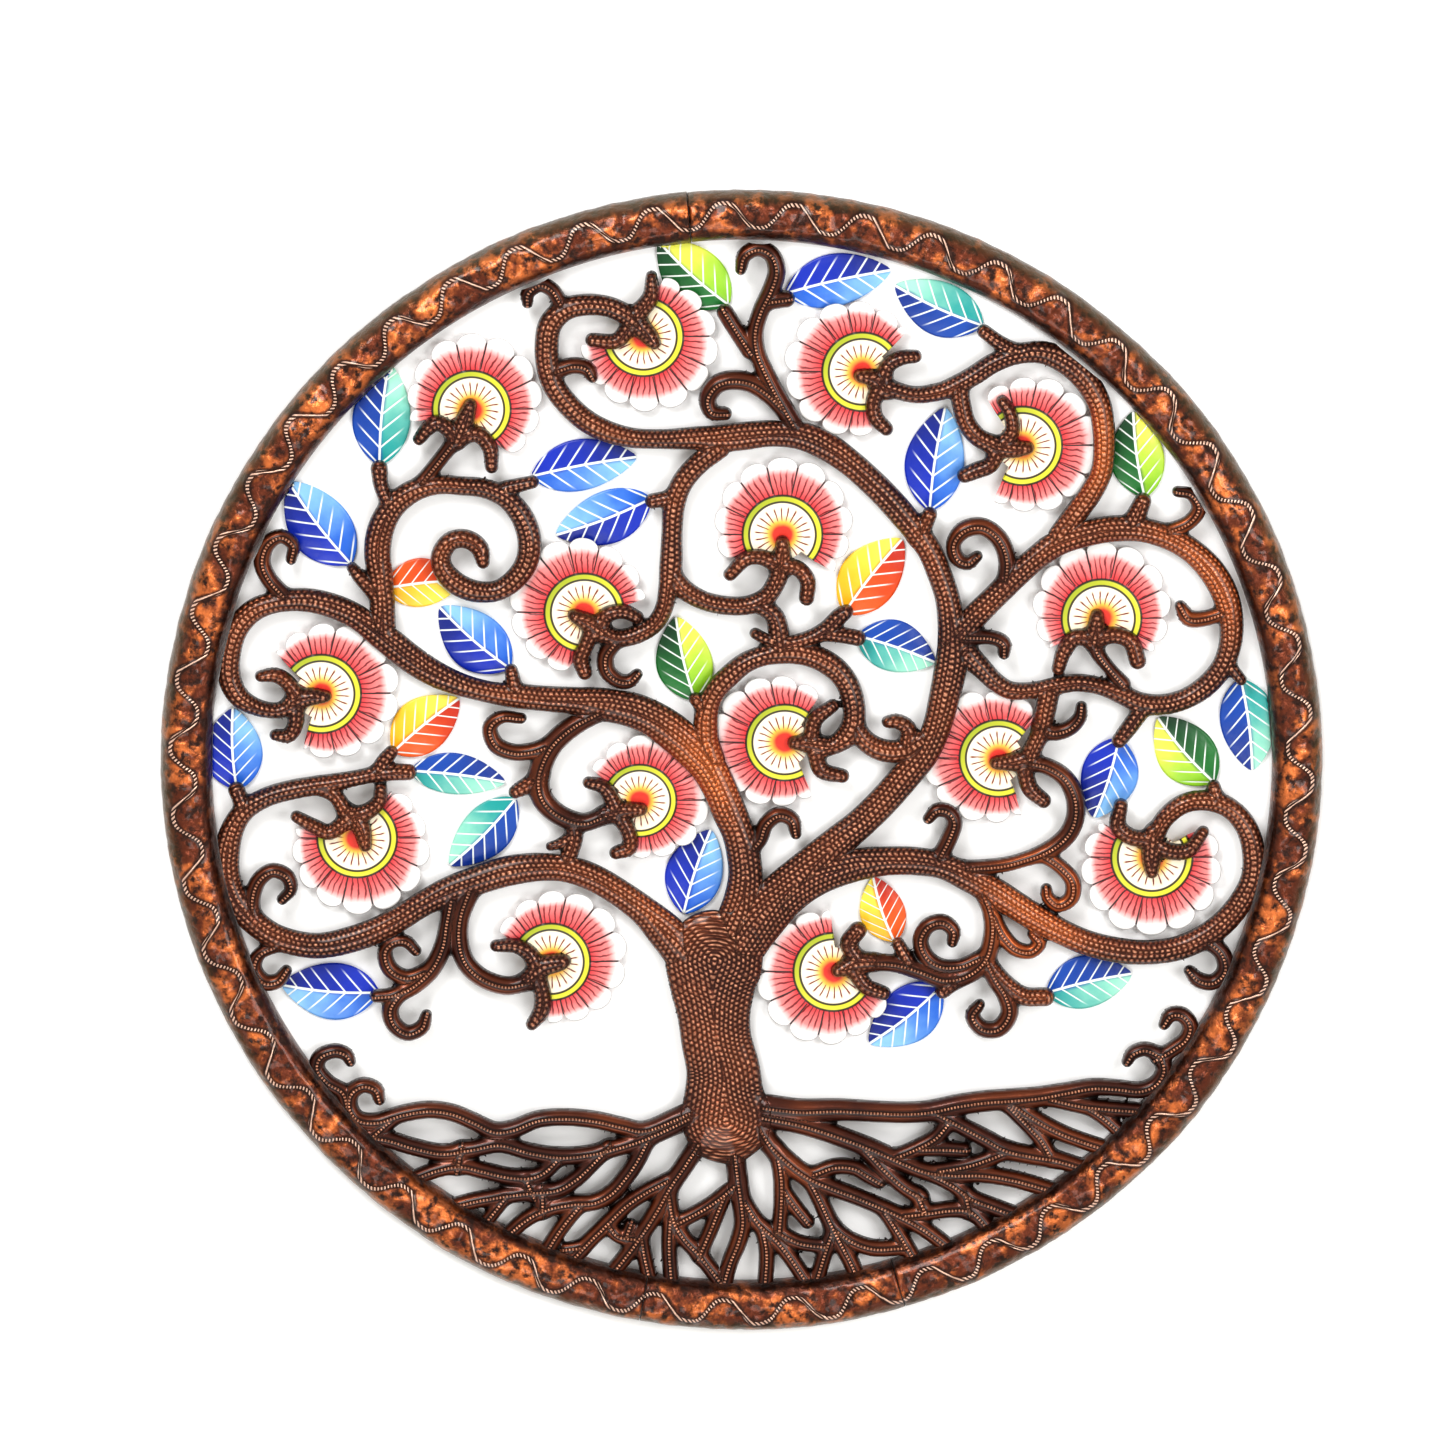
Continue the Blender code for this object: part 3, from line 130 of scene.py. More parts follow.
# Each strand is a family and its points: across, up and width. Where pieces meet, the
# later one in buildOrder gives way. Flowers: centre, way to the calyx in degrees, size.
# Leaves: base, tip, width next to the usual one.
# Each strand is a family and its points: across, up and width.
treeLines = {
    "trunk": [
        ("trunk", [(-8, -188, 46), (-9, -176, 41), (-9.5, -162, 38), (-13, -146, 36.5), (-14.5, -130, 38),
                   (-15, -114, 44), (-14, -102, 50)]),
    ],
    "bough_right": [
        ("bough", [(-4, -100, 27), (9, -82, 27), (22, -68, 24), (36, -54, 20), (50, -41, 17), (62, -31, 16),
                   (74, -19, 16), (86, -5, 16), (95, 6, 15), (101, 20, 15), (104.5, 34, 16), (107.5, 48, 17),
                   (109, 62, 16), (108, 76, 14), (106, 88, 13), (102, 100, 13), (97, 112, 13), (90, 122, 13),
                   (82, 132, 14), (74, 141, 14), (66, 149, 14), (56, 158, 14), (44, 166.5, 15),
                   (30, 172.5, 15), (15, 173.5, 14), (0, 172, 15), (-12, 171, 14), (-25, 171, 12),
                   (-40, 170.5, 10.5), (-55, 171, 10.5), (-68, 174, 11.5), (-80, 180, 12), (-90, 189, 12),
                   (-97, 199, 12), (-100, 210, 12.5), (-100.5, 221, 12.5), (-98.5, 231, 12.5),
                   (-91, 238.5, 12), (-80, 241, 11.5), (-69, 240, 11), (-60, 236, 11), (-54, 231, 11)]),
        ("calyx", [(-55, 232, 11), (-49, 226, 10), (-45, 221, 7)]),
        ("calyx", [(-54, 236, 10), (-47, 245, 9), (-46.5, 256, 6)]),
        ("calyx", [(-58, 229, 9), (-65, 222, 8.5), (-77, 222.5, 7.5)]),
        ("curl", [(-97, 206, 9), (-88, 209, 9), (-80.5, 208, 8.5), (-77, 203, 6)]),
        ("curl", [(-93, 241, 8), (-97.5, 248.5, 8), (-104, 251.5, 8), (-110, 247.5, 7.5), (-110.5, 242, 6)]),
        ("limb", [(91, 119, 10), (97, 131, 8)]),
    ],
    "bough_left": [
        ("bough", [(-14, -104, 24), (-5, -88, 22), (0, -74, 20), (2, -60, 18), (1, -48, 17.5), (-2, -36, 17),
                   (-7, -24, 18), (-12, -12, 18), (-18, -1, 19), (-26, 8, 20), (-35, 16, 20), (-45, 23, 19),
                   (-56, 28, 18.5), (-70, 31, 17.5), (-85, 33, 14.5), (-100, 34, 13.5), (-115, 35.5, 13),
                   (-130, 37.5, 11.5), (-145, 41.5, 12), (-159, 47.5, 14), (-172, 56, 15), (-184, 66, 15),
                   (-197, 76, 13.5), (-210, 82.5, 13), (-225, 86, 12.5), (-240, 85, 11.5), (-252, 80.5, 12),
                   (-260.5, 71, 12), (-264.5, 58, 12), (-264.5, 45, 12), (-259.5, 35, 11), (-250, 29.5, 9),
                   (-240, 28, 8.5), (-231, 31, 10)]),
        ("calyx", [(-232, 32, 10), (-224, 35, 10), (-215, 35.5, 6.5)]),
        ("calyx", [(-230, 36, 9), (-235, 43, 8.5), (-241, 46.5, 8), (-248.5, 46, 6)]),
        ("calyx", [(-230, 29, 9), (-230.5, 21, 8.5), (-234, 15, 8), (-241, 15, 6)]),
        ("curl", [(-236, 88, 9), (-244, 97, 9), (-247.5, 106, 9), (-245, 115, 8.5), (-238, 119.5, 7.5),
                  (-231.5, 115, 7), (-232.5, 107.5, 6)]),
        ("limb", [(-117, 38, 9), (-119, 49, 7)]),
        ("curl", [(3, -47, 8), (9.5, -40, 8), (12.5, -32, 8.5), (19, -27, 8.5), (26, -29.5, 8),
                  (28, -37, 6)]),
    ],
    "limb_lower_left": [
        ("bough", [(-22, -108, 24), (-29, -100, 22), (-38, -90, 20), (-49, -79, 16), (-62, -69, 14.5),
                   (-76, -60.5, 14.5), (-90, -55.5, 14.5), (-104, -54.5, 15), (-120, -56.5, 16),
                   (-135, -61, 15.5), (-150, -66.5, 15), (-164, -73.5, 13.5), (-180, -83.5, 13.5),
                   (-198, -91.5, 14), (-219, -96, 13.5), (-238, -92.5, 13.5), (-251, -84.5, 13.5),
                   (-261, -73, 14), (-266, -60, 14), (-266, -46, 13.5), (-262.5, -33, 12), (-256, -24, 11),
                   (-245, -17.5, 10.5), (-231, -13.5, 10.5), (-216, -11, 10), (-201, -8, 8.5),
                   (-189, -5.5, 8.5), (-180, -4.5, 9), (-172, -4.5, 8.5)]),
        ("limb", [(-188, -4, 8), (-185, 1, 8), (-181, 6, 7)]),
        ("limb", [(-258, -22, 8), (-261, -14, 9)]),
        ("limb", [(-218, -12, 9), (-210, -17, 8.5), (-205, -25, 8.5)]),
        ("calyx", [(-204, -25, 9), (-197, -33, 10), (-194.5, -43, 7)]),
        ("calyx", [(-204, -30, 9), (-213, -36, 8.5), (-221, -33, 8), (-230, -28, 6.5)]),
        ("calyx", [(-203, -27, 9), (-194, -25.5, 9), (-187.5, -20, 8), (-186.5, -13, 7)]),
        ("curl", [(-252, -83, 8), (-253, -72, 8.5), (-250, -62, 8.5), (-243, -56.5, 8), (-235.5, -59, 8),
                  (-233, -66, 7), (-237.5, -71.5, 6)]),
        ("curl", [(-241, -96, 7), (-249.5, -100.5, 7), (-252, -108.5, 8.5), (-247, -115, 9),
                  (-240, -114.5, 8), (-235.5, -109, 6)]),
        ("curl", [(-150, -71, 9), (-152.5, -84, 8), (-154.5, -96, 9.5), (-160, -107.5, 10), (-170, -117, 10),
                  (-180, -121.5, 8), (-189, -122.5, 7)]),
        ("curl", [(-162, -109, 8), (-173, -112.5, 8.5), (-181.5, -108.5, 9), (-184.5, -100, 8),
                  (-181, -94.5, 6.5), (-174, -93.5, 7), (-168.5, -98.5, 6)]),
        ("curl", [(-175, -119, 8), (-181.5, -128.5, 9), (-180, -137, 9), (-173, -142, 8.5), (-165.5, -139, 8),
                  (-163, -132.5, 6)]),
        ("curl", [(-141, -67, 12), (-145.5, -81, 10), (-146, -94, 10), (-142.5, -105, 10), (-134, -113, 10),
                  (-122, -117, 10), (-110, -115, 9.5)]),
        ("calyx", [(-111, -114, 10), (-103, -107, 11), (-96, -105, 10), (-91.5, -104, 7)]),
        ("calyx", [(-106, -107, 9), (-110, -100, 9), (-117, -96, 8), (-127, -96, 6.5)]),
        ("calyx", [(-106, -111, 9), (-103, -121, 9), (-103.5, -130, 9), (-108.5, -137.5, 6.5)]),
    ],
    "limb_lower_right": [
        ("bough", [(12, -82, 20), (26, -68, 20), (40, -59, 20), (56, -54, 18), (73, -51.5, 15.5),
                   (90, -51.5, 15), (104, -54, 14), (117, -60, 15), (130, -67, 15), (142, -75, 15),
                   (154, -82.5, 14.5), (167, -89.5, 13.5), (180, -95, 13.5), (195, -98.5, 13.5),
                   (210, -99.5, 13), (225, -97.5, 13), (238, -92, 13), (249, -84, 13), (258, -73, 12.5),
                   (264, -60, 12), (264.5, -46, 12), (260.5, -33, 11.5), (252, -23.5, 11), (241, -19.5, 11),
                   (229, -21, 10.5), (219.5, -28, 10), (214, -37, 9.5)]),
        ("limb", [(246, -20, 8), (244, -12, 7)]),
        ("calyx", [(213, -36, 10), (212, -47, 11), (212, -57, 7)]),
        ("calyx", [(212, -41, 9), (221, -46, 9), (231, -45.5, 8.5), (238.5, -36, 6.5)]),
        ("calyx", [(211, -40, 9), (201, -38.5, 9), (194.5, -32.5, 9), (196, -22, 7.5)]),
        ("curl", [(241, -93, 9), (248.5, -100, 9), (250, -109, 9), (244, -115, 8.5), (236.5, -114, 8.5),
                  (231.5, -109, 6)]),
        ("curl", [(102, -50, 9), (107.5, -39, 9), (110, -31, 8.5), (107, -25.5, 8), (101, -24.5, 7.5),
                  (96.5, -29, 6)]),
        ("curl", [(116, -55, 8), (134, -53.5, 8), (146, -50.5, 8), (158, -46, 9.5), (168, -38, 10),
                  (172.5, -28, 10), (172, -17, 10), (167, -7.5, 9.5), (158, -1.5, 9), (147, 1, 9)]),
        ("curl", [(156, -48, 8), (165, -54.5, 8), (171, -62, 8.5), (170.5, -70.5, 8.5), (164, -74.5, 7.5),
                  (158.5, -70.5, 7), (157.5, -66, 6)]),
        ("limb", [(159, 38, 11), (157, 28, 11), (155, 18, 10), (151, 9, 10), (147, 1, 9.5)]),
        ("curl", [(154, 20, 9), (161, 16.5, 9), (169, 18.5, 8.5), (174.5, 24, 7.5), (175.5, 30, 6)]),
        ("calyx", [(149, 3, 10), (141, 1, 10), (131.5, 0.5, 7)]),
        ("calyx", [(146, -3, 9), (149, -13, 9), (156, -19.5, 8)]),
    ],
    "limb_right": [
        ("limb", [(108, 64, 14), (119, 76, 13.5), (130, 87, 13), (141, 98, 13), (152, 108, 13),
                  (164, 116.5, 14), (178, 121, 14), (192, 123.5, 14), (206, 123, 13), (220, 119, 13),
                  (232, 112, 13), (242, 102, 14), (249, 90, 14), (252.5, 77, 13), (252.5, 64, 12),
                  (248.5, 51.5, 11.5), (240, 41, 11.5), (229, 34, 11), (217, 31, 11), (206, 32, 11),
                  (196, 36.5, 10.5), (186, 40.5, 9.5), (174, 42.5, 9.5), (162, 41, 9.5), (150, 38.5, 9),
                  (139, 38.5, 9.5), (131, 43, 10), (124, 50, 11), (116, 58, 13)]),
        ("curl", [(197, 42, 8), (190, 50, 7), (184, 58, 8), (182, 66, 9)]),
        ("calyx", [(182, 64, 11), (183, 71, 9.5), (183.5, 78, 7)]),
        ("calyx", [(181, 66, 9), (172, 66, 9), (166.5, 59, 8.5), (163.5, 50, 7)]),
        ("calyx", [(184, 66, 9), (193, 67.5, 9), (201, 64, 9), (204.5, 54, 9)]),
        ("curl", [(112, 67, 10), (128, 66.5, 8), (135, 63.5, 8), (135.5, 58, 6.5)]),
        ("curl", [(136, 93, 9), (137, 107, 9.5), (133, 118, 9.5), (124.5, 124.5, 9.5), (115, 123, 9.5),
                  (109.5, 116, 8), (111, 108.5, 8), (116.5, 105.5, 7.5), (121.5, 109, 6)]),
        ("curl", [(220, 122, 8), (231, 127, 8), (236, 134.5, 8), (232, 141.5, 6.5), (225, 143, 6)]),
        ("curl", [(250, 80, 8), (239.5, 76.5, 8.5), (231, 76.5, 9), (226.5, 83, 6)]),
        ("limb", [(202, 127, 11), (207, 138, 9)]),
        ("limb", [(250, 54, 7), (258, 44, 6)]),
        ("limb", [(208, 30, 9), (201, 20, 9), (195, 12, 8)]),
    ],
    "limb_upper_right": [
        ("limb", [(74, 198, 9), (88, 194, 9), (100, 195, 9.5), (110, 198.5, 10), (120, 204, 10.5),
                  (130, 210.5, 10.5), (142, 215, 10.5), (155, 216, 12), (167, 211, 13), (177, 202, 13),
                  (184, 190, 12.5), (186.5, 178, 12), (187, 165, 11.5), (185.5, 153, 11.5), (180, 142, 12),
                  (172, 131, 12), (164, 120, 12)]),
        ("limb", [(112, 198, 10), (113.5, 188, 10), (116, 179, 10), (122, 171.5, 10), (131, 167, 10)]),
        ("calyx", [(75, 196, 10), (69, 202, 9.5), (61, 204, 7)]),
        ("calyx", [(73, 201, 9), (75.5, 209, 8.5), (82, 213, 8), (89.5, 214, 7)]),
        ("calyx", [(71, 198, 9), (68, 190, 8.5), (69, 182, 8.5), (74.5, 176, 7.5)]),
        ("calyx", [(130, 167, 10), (139, 165.5, 10), (147.5, 166, 7)]),
        ("calyx", [(135, 168, 9), (139.5, 175, 8), (138.5, 184, 7.5), (134.5, 190.5, 6.5)]),
        ("calyx", [(132, 164, 9), (128, 157, 9), (121, 154, 9), (115, 151.5, 8)]),
        ("limb", [(143, 216, 8), (133, 221, 8), (125, 227, 7.5)]),
    ],
    "limb_upper_left": [
        ("limb", [(-186, 70, 15), (-185.5, 84, 13), (-186.5, 98, 13), (-188, 111, 14), (-186, 124, 14),
                  (-180, 135, 13), (-170, 143, 12), (-158, 146.5, 10.5), (-145, 146, 10), (-132, 144.5, 10.5),
                  (-121, 139, 11), (-113, 129, 12), (-109.5, 117, 12.5), (-111, 106, 12), (-117, 97, 11.5),
                  (-126, 91, 11), (-137, 90.5, 11.5), (-147, 94.5, 12), (-154, 102, 11), (-155, 110, 10.5),
                  (-150, 117, 10), (-142, 118, 10), (-135.5, 113.5, 9.5), (-133.5, 106, 7)]),
        ("limb", [(-182, 136, 8), (-186, 146, 8), (-187, 155, 9)]),
        ("limb", [(-187, 88, 10), (-196, 97, 8), (-201, 103, 6)]),
        ("limb", [(-121, 145, 8), (-108, 148, 7)]),
        ("curl", [(-165, 148, 8), (-155.5, 160, 8), (-147, 171, 8.5)]),
        ("calyx", [(-147, 170, 11), (-143, 180, 10), (-140, 188.5, 7)]),
        ("calyx", [(-148, 173, 9), (-156, 179, 8.5), (-161.5, 176.5, 8), (-166.5, 170.5, 6.5)]),
        ("calyx", [(-145, 172, 9), (-136, 173, 9), (-130, 166, 8.5), (-129, 156, 7)]),
    ],
    "limb_centre": [
        ("limb", [(-15, 2, 13), (-18, 12, 13), (-18.5, 22, 13), (-17, 31, 12), (-13, 39, 11.5),
                  (-6, 46.5, 11.5), (2, 53, 11), (12, 57, 11), (25, 58.5, 12), (37, 56.5, 12.5),
                  (47, 51, 12.5), (54, 43, 12), (57.5, 33, 12), (58, 23, 12), (54.5, 15, 12), (48, 10, 10),
                  (41, 9, 10)]),
        ("calyx", [(42, 9, 11), (35, 10.5, 10), (27, 11, 7)]),
        ("calyx", [(36, 14, 9), (38, 23, 8.5), (47, 30.5, 7)]),
        ("calyx", [(38, 6, 9), (41.5, -3.5, 9), (52, -6.5, 7.5)]),
        ("limb", [(58, 21, 9), (64, 12, 11), (73, 7, 12), (84, 7, 12), (93, 12, 12)]),
        ("limb", [(86, 10, 10), (86, 18, 9), (81, 22, 8), (75.5, 22, 6.5)]),
        ("limb", [(20, 62, 9), (33, 65.5, 8), (43, 70, 9), (50, 77, 9), (54, 80, 7.5)]),
        ("limb", [(43, 68.5, 8), (52, 67.5, 8.5), (60, 66, 8.5)]),
        ("limb", [(20, 64, 8), (12, 66, 6.5), (7, 68.5, 6)]),
        ("limb", [(-20, 30, 8), (-24, 34, 7)]),
    ],
    "limb_middle": [
        ("limb", [(-12, 166, 12), (-23, 157, 11.5), (-31, 147, 11.5), (-35, 135, 11.5), (-36, 120, 11),
                  (-36.5, 105, 12), (-38, 93, 10), (-40, 82, 9.5), (-45, 73.5, 9.5), (-54, 68, 10),
                  (-64, 66, 9.5), (-72, 69, 9.5)]),
        ("calyx", [(-72, 69, 11), (-79, 74, 10), (-86.5, 78, 7)]),
        ("calyx", [(-73, 73, 9), (-69, 78.5, 8.5), (-61, 80, 8), (-54, 77, 7)]),
        ("calyx", [(-77, 70, 9), (-80.5, 62, 8.5), (-83, 55, 9), (-81, 48, 8)]),
        ("curl", [(-65, 64, 8), (-70, 57, 9), (-69.5, 49, 9), (-64, 44, 8), (-58, 43.5, 7.5), (-54, 47, 6)]),
        ("limb", [(-36, 140, 8), (-46, 138, 8)]),
        ("limb", [(-35, 98, 10), (-29, 91, 10.5), (-19, 85.5, 10), (-7, 83, 10), (4, 83.5, 10),
                  (13, 88, 10), (18.5, 97, 10), (20, 105, 10)]),
        ("calyx", [(20, 103, 10), (21, 110, 9), (21, 116.5, 7)]),
        ("calyx", [(18, 105, 9), (10, 108.5, 8.5), (2, 107.5, 8), (-6, 99.5, 7)]),
        ("calyx", [(21, 104, 9), (29, 102.5, 8.5), (34, 96, 8.5), (33.5, 87, 8)]),
        ("limb", [(20, 60, 11), (19, 70, 11), (16.5, 78, 10), (9, 84, 9)]),
    ],
    "limb_loop": [
        ("curl", [(-72, 28, 10), (-86, 20.5, 11), (-97, 11, 11.5), (-103, 0, 11.5), (-105, -10, 11.5),
                  (-102, -20, 11.5), (-93.5, -27.5, 11), (-82, -31, 10), (-70, -27, 9.5)]),
        ("curl", [(-101, 9, 9), (-109, 6.5, 9), (-118, 6, 9), (-127, 10, 9), (-130, 19, 8),
                  (-124, 24.5, 7), (-114, 24, 6)]),
        ("limb", [(-103, -6, 8), (-112, -12, 8.5), (-117, -15, 7)]),
        ("limb", [(-87, -31, 9), (-86.5, -40, 9), (-90, -50, 9)]),
        ("limb", [(-88, -38, 6), (-94, -42, 5.5), (-99, -43.5, 4.5)]),
        ("calyx", [(-71, -27, 10), (-62, -25, 10), (-52, -24, 7)]),
        ("calyx", [(-65, -24, 9), (-68, -17, 8.5), (-72, -12, 8), (-79, -10, 6.5)]),
        ("calyx", [(-63, -28, 9), (-58.5, -36, 8.5), (-58, -44, 8.5), (-65, -47, 7)]),
    ],
    "limb_spiral": [
        ("curl", [(124, -66, 9), (129, -79, 9), (129.5, -91, 9.5), (126, -103, 10), (117, -111, 10.5),
                  (105, -113.5, 10.5), (92, -109, 10), (80, -105.5, 9.5), (67, -104.5, 9)]),
        ("curl", [(122, -103, 8), (113, -106.5, 7.5), (103, -106.5, 8), (95.5, -101.5, 8.5),
                  (92.5, -93, 8.5), (96.5, -85.5, 8.5), (104, -83.5, 8.5), (109.5, -88, 7.5),
                  (109, -94, 6)]),
        ("curl", [(130, -80, 8), (134.5, -89.5, 8.5), (141, -97, 8.5), (149, -99, 8), (154, -94.5, 7.5),
                  (150.5, -89.5, 6)]),
        ("curl", [(126, -102, 9), (131, -113, 9.5), (136.5, -122, 9.5), (138.5, -131.5, 9.5),
                  (133, -139.5, 9.5), (124.5, -139.5, 9), (119.5, -133, 8), (123, -127, 6)]),
        ("limb", [(129, -107, 8), (137, -116, 9), (146, -122.5, 10), (157, -123, 10)]),
        ("limb", [(111, -114, 9), (104, -120, 8)]),
        ("limb", [(87, -106, 8), (81, -95, 7)]),
        ("calyx", [(68, -104.5, 10), (59, -105.5, 11), (49.5, -109, 7)]),
        ("calyx", [(60, -103, 9), (55.5, -95, 9.5), (60, -88, 9.5)]),
        ("calyx", [(58, -108, 9), (64, -117, 9), (73.5, -121, 7.5)]),
    ],
    "tendril_top": [
        ("curl", [(27, 178, 10), (19, 192, 9.5), (12.5, 205, 9.5), (8, 216, 9), (7, 227, 9), (10, 238, 9),
                  (15, 248.5, 9.5), (18, 258.5, 9.5), (15.5, 267, 9), (8.5, 270.5, 8.5), (1.5, 267, 8),
                  (-0.5, 259.5, 6)]),
        ("curl", [(-8.5, 237, 9), (-3, 228, 9), (4, 217, 9)]),
        ("curl", [(21, 187, 9), (14, 194, 10), (5, 200, 10.5), (-5, 201.5, 10.5), (-13, 199, 10),
                  (-17.5, 192, 9.5), (-15.5, 185, 8.5), (-8.5, 184, 7)]),
        ("curl", [(15, 243, 9), (23, 244, 9)]),
    ],
    "roots_right": [
        ("root", [(-4, -186, 12), (-4, -198, 11.5), (-3, -210, 11), (-1.5, -222, 11), (0, -233, 10),
                  (0.5, -243, 9.5), (-2, -253, 9.5), (-6, -263, 9), (-10, -277, 9)]),
        ("root", [(1, -230, 8), (8.5, -242, 9), (17, -250, 9), (25, -260, 9), (35, -275, 8.5)]),
        ("root", [(10.5, -244, 8), (13, -258, 8.5), (12, -277, 8.5)]),
        ("root", [(6, -186, 12), (15, -201, 11.5), (25, -211, 11.5), (35.5, -218.5, 11), (47, -223.5, 10),
                  (60, -228.5, 9.5), (75, -235, 9.5), (90, -242.5, 9.5), (101, -250, 9), (113, -260, 9)]),
        ("root", [(18, -203, 8.5), (20.5, -218, 9), (20.5, -232, 8.5), (19.5, -247, 8.5)]),
        ("root", [(22, -225, 7.5), (28, -234, 8.5), (34, -241.5, 8)]),
        ("root", [(19, -247, 8.5), (30, -252.5, 8.5), (43, -254.5, 8.5)]),
        ("root", [(35, -219, 8.5), (41, -231, 9), (46, -242, 9.5), (52, -254, 9.5), (58, -266, 9),
                  (61, -277, 8.5)]),
        ("root", [(47.5, -245, 8), (43.5, -257, 8.5), (37.5, -277, 8.5)]),
        ("root", [(48, -245, 8), (58, -252, 9), (69, -255.5, 9.5), (83, -255, 9)]),
        ("root", [(74, -236, 8), (81, -247, 8.5), (87, -257, 8.5), (93, -268, 8)]),
        ("root", [(10, -186, 12), (28, -189.5, 11), (42, -193.5, 11), (56, -198.5, 11), (70, -204, 10.5),
                  (83, -210, 10), (96, -215, 10), (110, -216.5, 10), (124, -216.5, 9.5), (138, -218.5, 9.5),
                  (150, -221.5, 9.5), (168, -227, 9)]),
        ("root", [(64, -203, 9), (74, -214, 9), (84, -223, 9.5), (93, -228.5, 9)]),
        ("root", [(38, -216, 8.5), (48, -212.5, 9), (58, -213, 9), (66, -217.5, 9), (71, -220.5, 8)]),
        ("root", [(80, -207, 8.5), (92, -202, 9), (101, -196.5, 9), (108, -188, 9)]),
        ("root", [(93, -203, 8), (105, -203, 9), (115, -203.5, 8.5)]),
        ("root", [(12, -181, 14), (30, -183, 13), (50, -182.5, 12), (70, -183.5, 11.5), (85, -184, 11.5),
                  (98, -183, 11.5), (112, -180, 11.5), (126, -178, 11.5), (140, -177, 11.5),
                  (155, -175.5, 11), (168, -173, 10), (182, -170.5, 9.5), (195, -171, 9), (206, -172, 9),
                  (214.5, -168.5, 9), (218.5, -161, 8.5), (216, -154, 8.5), (209, -150.5, 8),
                  (202.5, -152.5, 7.5), (199.5, -157, 6)]),
        ("root", [(215.5, -155, 8), (223, -150.5, 8.5), (230, -145, 8.5), (232, -138, 8.5),
                  (228, -132.5, 8.5), (222, -132.5, 8), (218.5, -137.5, 6)]),
        ("root", [(160, -176.5, 9), (175, -180, 9), (188, -181.5, 9), (208, -183, 8.5)]),
        ("root", [(178, -180, 8), (188, -187, 8.5), (199, -197, 8)]),
        ("root", [(140, -179, 9), (150, -186, 9.5), (162, -193, 9.5), (174, -198, 9), (192, -204, 9)]),
        ("root", [(139, -181, 9), (148.5, -191, 8.5), (155.5, -199, 8.5), (161, -209, 8)]),
        ("root", [(101, -184, 9), (114, -191, 9.5), (126, -197.5, 10), (137, -203.5, 10.5),
                  (150, -206.5, 10.5), (164, -209, 10), (182, -214.5, 9)]),
        ("root", [(102, -214.5, 8.5), (116, -212, 9), (127, -208.5, 9), (138, -204, 9)]),
        ("root", [(98, -216, 8.5), (110, -222.5, 9), (119, -229, 9.5), (130, -233.5, 9.5), (145, -239, 9)]),
        ("root", [(84, -238, 8.5), (97, -236.5, 9), (109, -235, 9.5), (119, -236, 10), (127, -244, 9),
                  (134, -253, 8.5)]),
        ("root", [(91, -227, 9), (95, -236, 9)]),
        ("root", [(116, -227, 10), (118, -236, 10)]),
    ],
    "roots_left": [
        ("root", [(-20, -180, 12), (-34, -187, 11), (-50, -193, 9.5), (-62, -191, 9.5), (-75, -188, 9.5),
                  (-90, -186.5, 9.5), (-105, -187.5, 9.5), (-118, -192.5, 10), (-128, -193.5, 10),
                  (-139, -188.5, 9.5), (-150, -184, 9.5), (-162, -182.5, 9.5), (-175, -184.5, 9.5),
                  (-188, -188.5, 9.5), (-198, -187.5, 9), (-203, -181, 9), (-202, -173.5, 9),
                  (-196, -169.5, 8.5), (-189.5, -171.5, 8), (-187.5, -177, 6.5)]),
        ("root", [(-204, -181, 8.5), (-206.5, -173, 8.5), (-214, -168, 8.5), (-219.5, -161, 8.5),
                  (-218, -154.5, 8.5), (-211, -151.5, 8), (-205, -153, 7.5), (-202.5, -157, 6)]),
        ("root", [(-22, -184, 12), (-36, -191, 11), (-49, -197, 10.5), (-62, -201.5, 10), (-78, -205.5, 9.5),
                  (-94, -207, 10), (-110, -204.5, 9.5), (-125, -200.5, 10), (-140, -203, 10),
                  (-155, -205, 9.5), (-170, -202, 9.5), (-183, -198, 9.5), (-197, -196, 9)]),
        ("root", [(-182, -188, 8.5), (-192, -197, 9)]),
        ("root", [(-174, -220.5, 8.5), (-159, -214.5, 9), (-146, -212, 9.5), (-134, -214.5, 9.5),
                  (-121, -217.5, 9.5), (-110, -218, 9.5), (-102, -215, 9), (-95, -208, 9)]),
        ("root", [(-145, -203, 9), (-147, -213, 9)]),
        ("root", [(-158, -236, 8.5), (-141, -231, 9), (-125, -228, 9.5), (-110, -226, 10), (-96, -224.5, 9.5),
                  (-86, -219, 9.5), (-78, -211.5, 9), (-69, -202, 9)]),
        ("root", [(-112, -218, 9), (-108, -227, 9)]),
        ("root", [(-122, -228, 8), (-128, -236, 8), (-137, -247, 8)]),
        ("root", [(-126, -253, 8.5), (-112, -240.5, 9), (-100, -234.5, 9.5), (-88, -232, 9.5),
                  (-76, -231, 9.5), (-67, -226, 9.5), (-60, -218, 9.5), (-54, -209, 9.5), (-48, -197, 9)]),
        ("root", [(-103, -225, 9), (-103, -236, 9)]),
        ("root", [(-84, -233, 8.5), (-92, -243, 8.5), (-98, -252, 8.5), (-106, -266, 8.5)]),
        ("root", [(-39, -220, 8.5), (-50, -226, 9), (-60, -233, 9), (-70, -243, 9), (-80, -253, 9),
                  (-90, -264, 9)]),
        ("root", [(-83, -255, 8), (-91, -256, 7.5)]),
        ("root", [(-15, -184, 13), (-21, -198, 11), (-29, -211, 10.5), (-37, -223, 10.5),
                  (-43.5, -235, 10), (-51, -247, 9.5), (-58, -257, 9), (-69, -271, 9)]),
        ("root", [(-69, -243, 8), (-64, -249, 8), (-55, -250.5, 8)]),
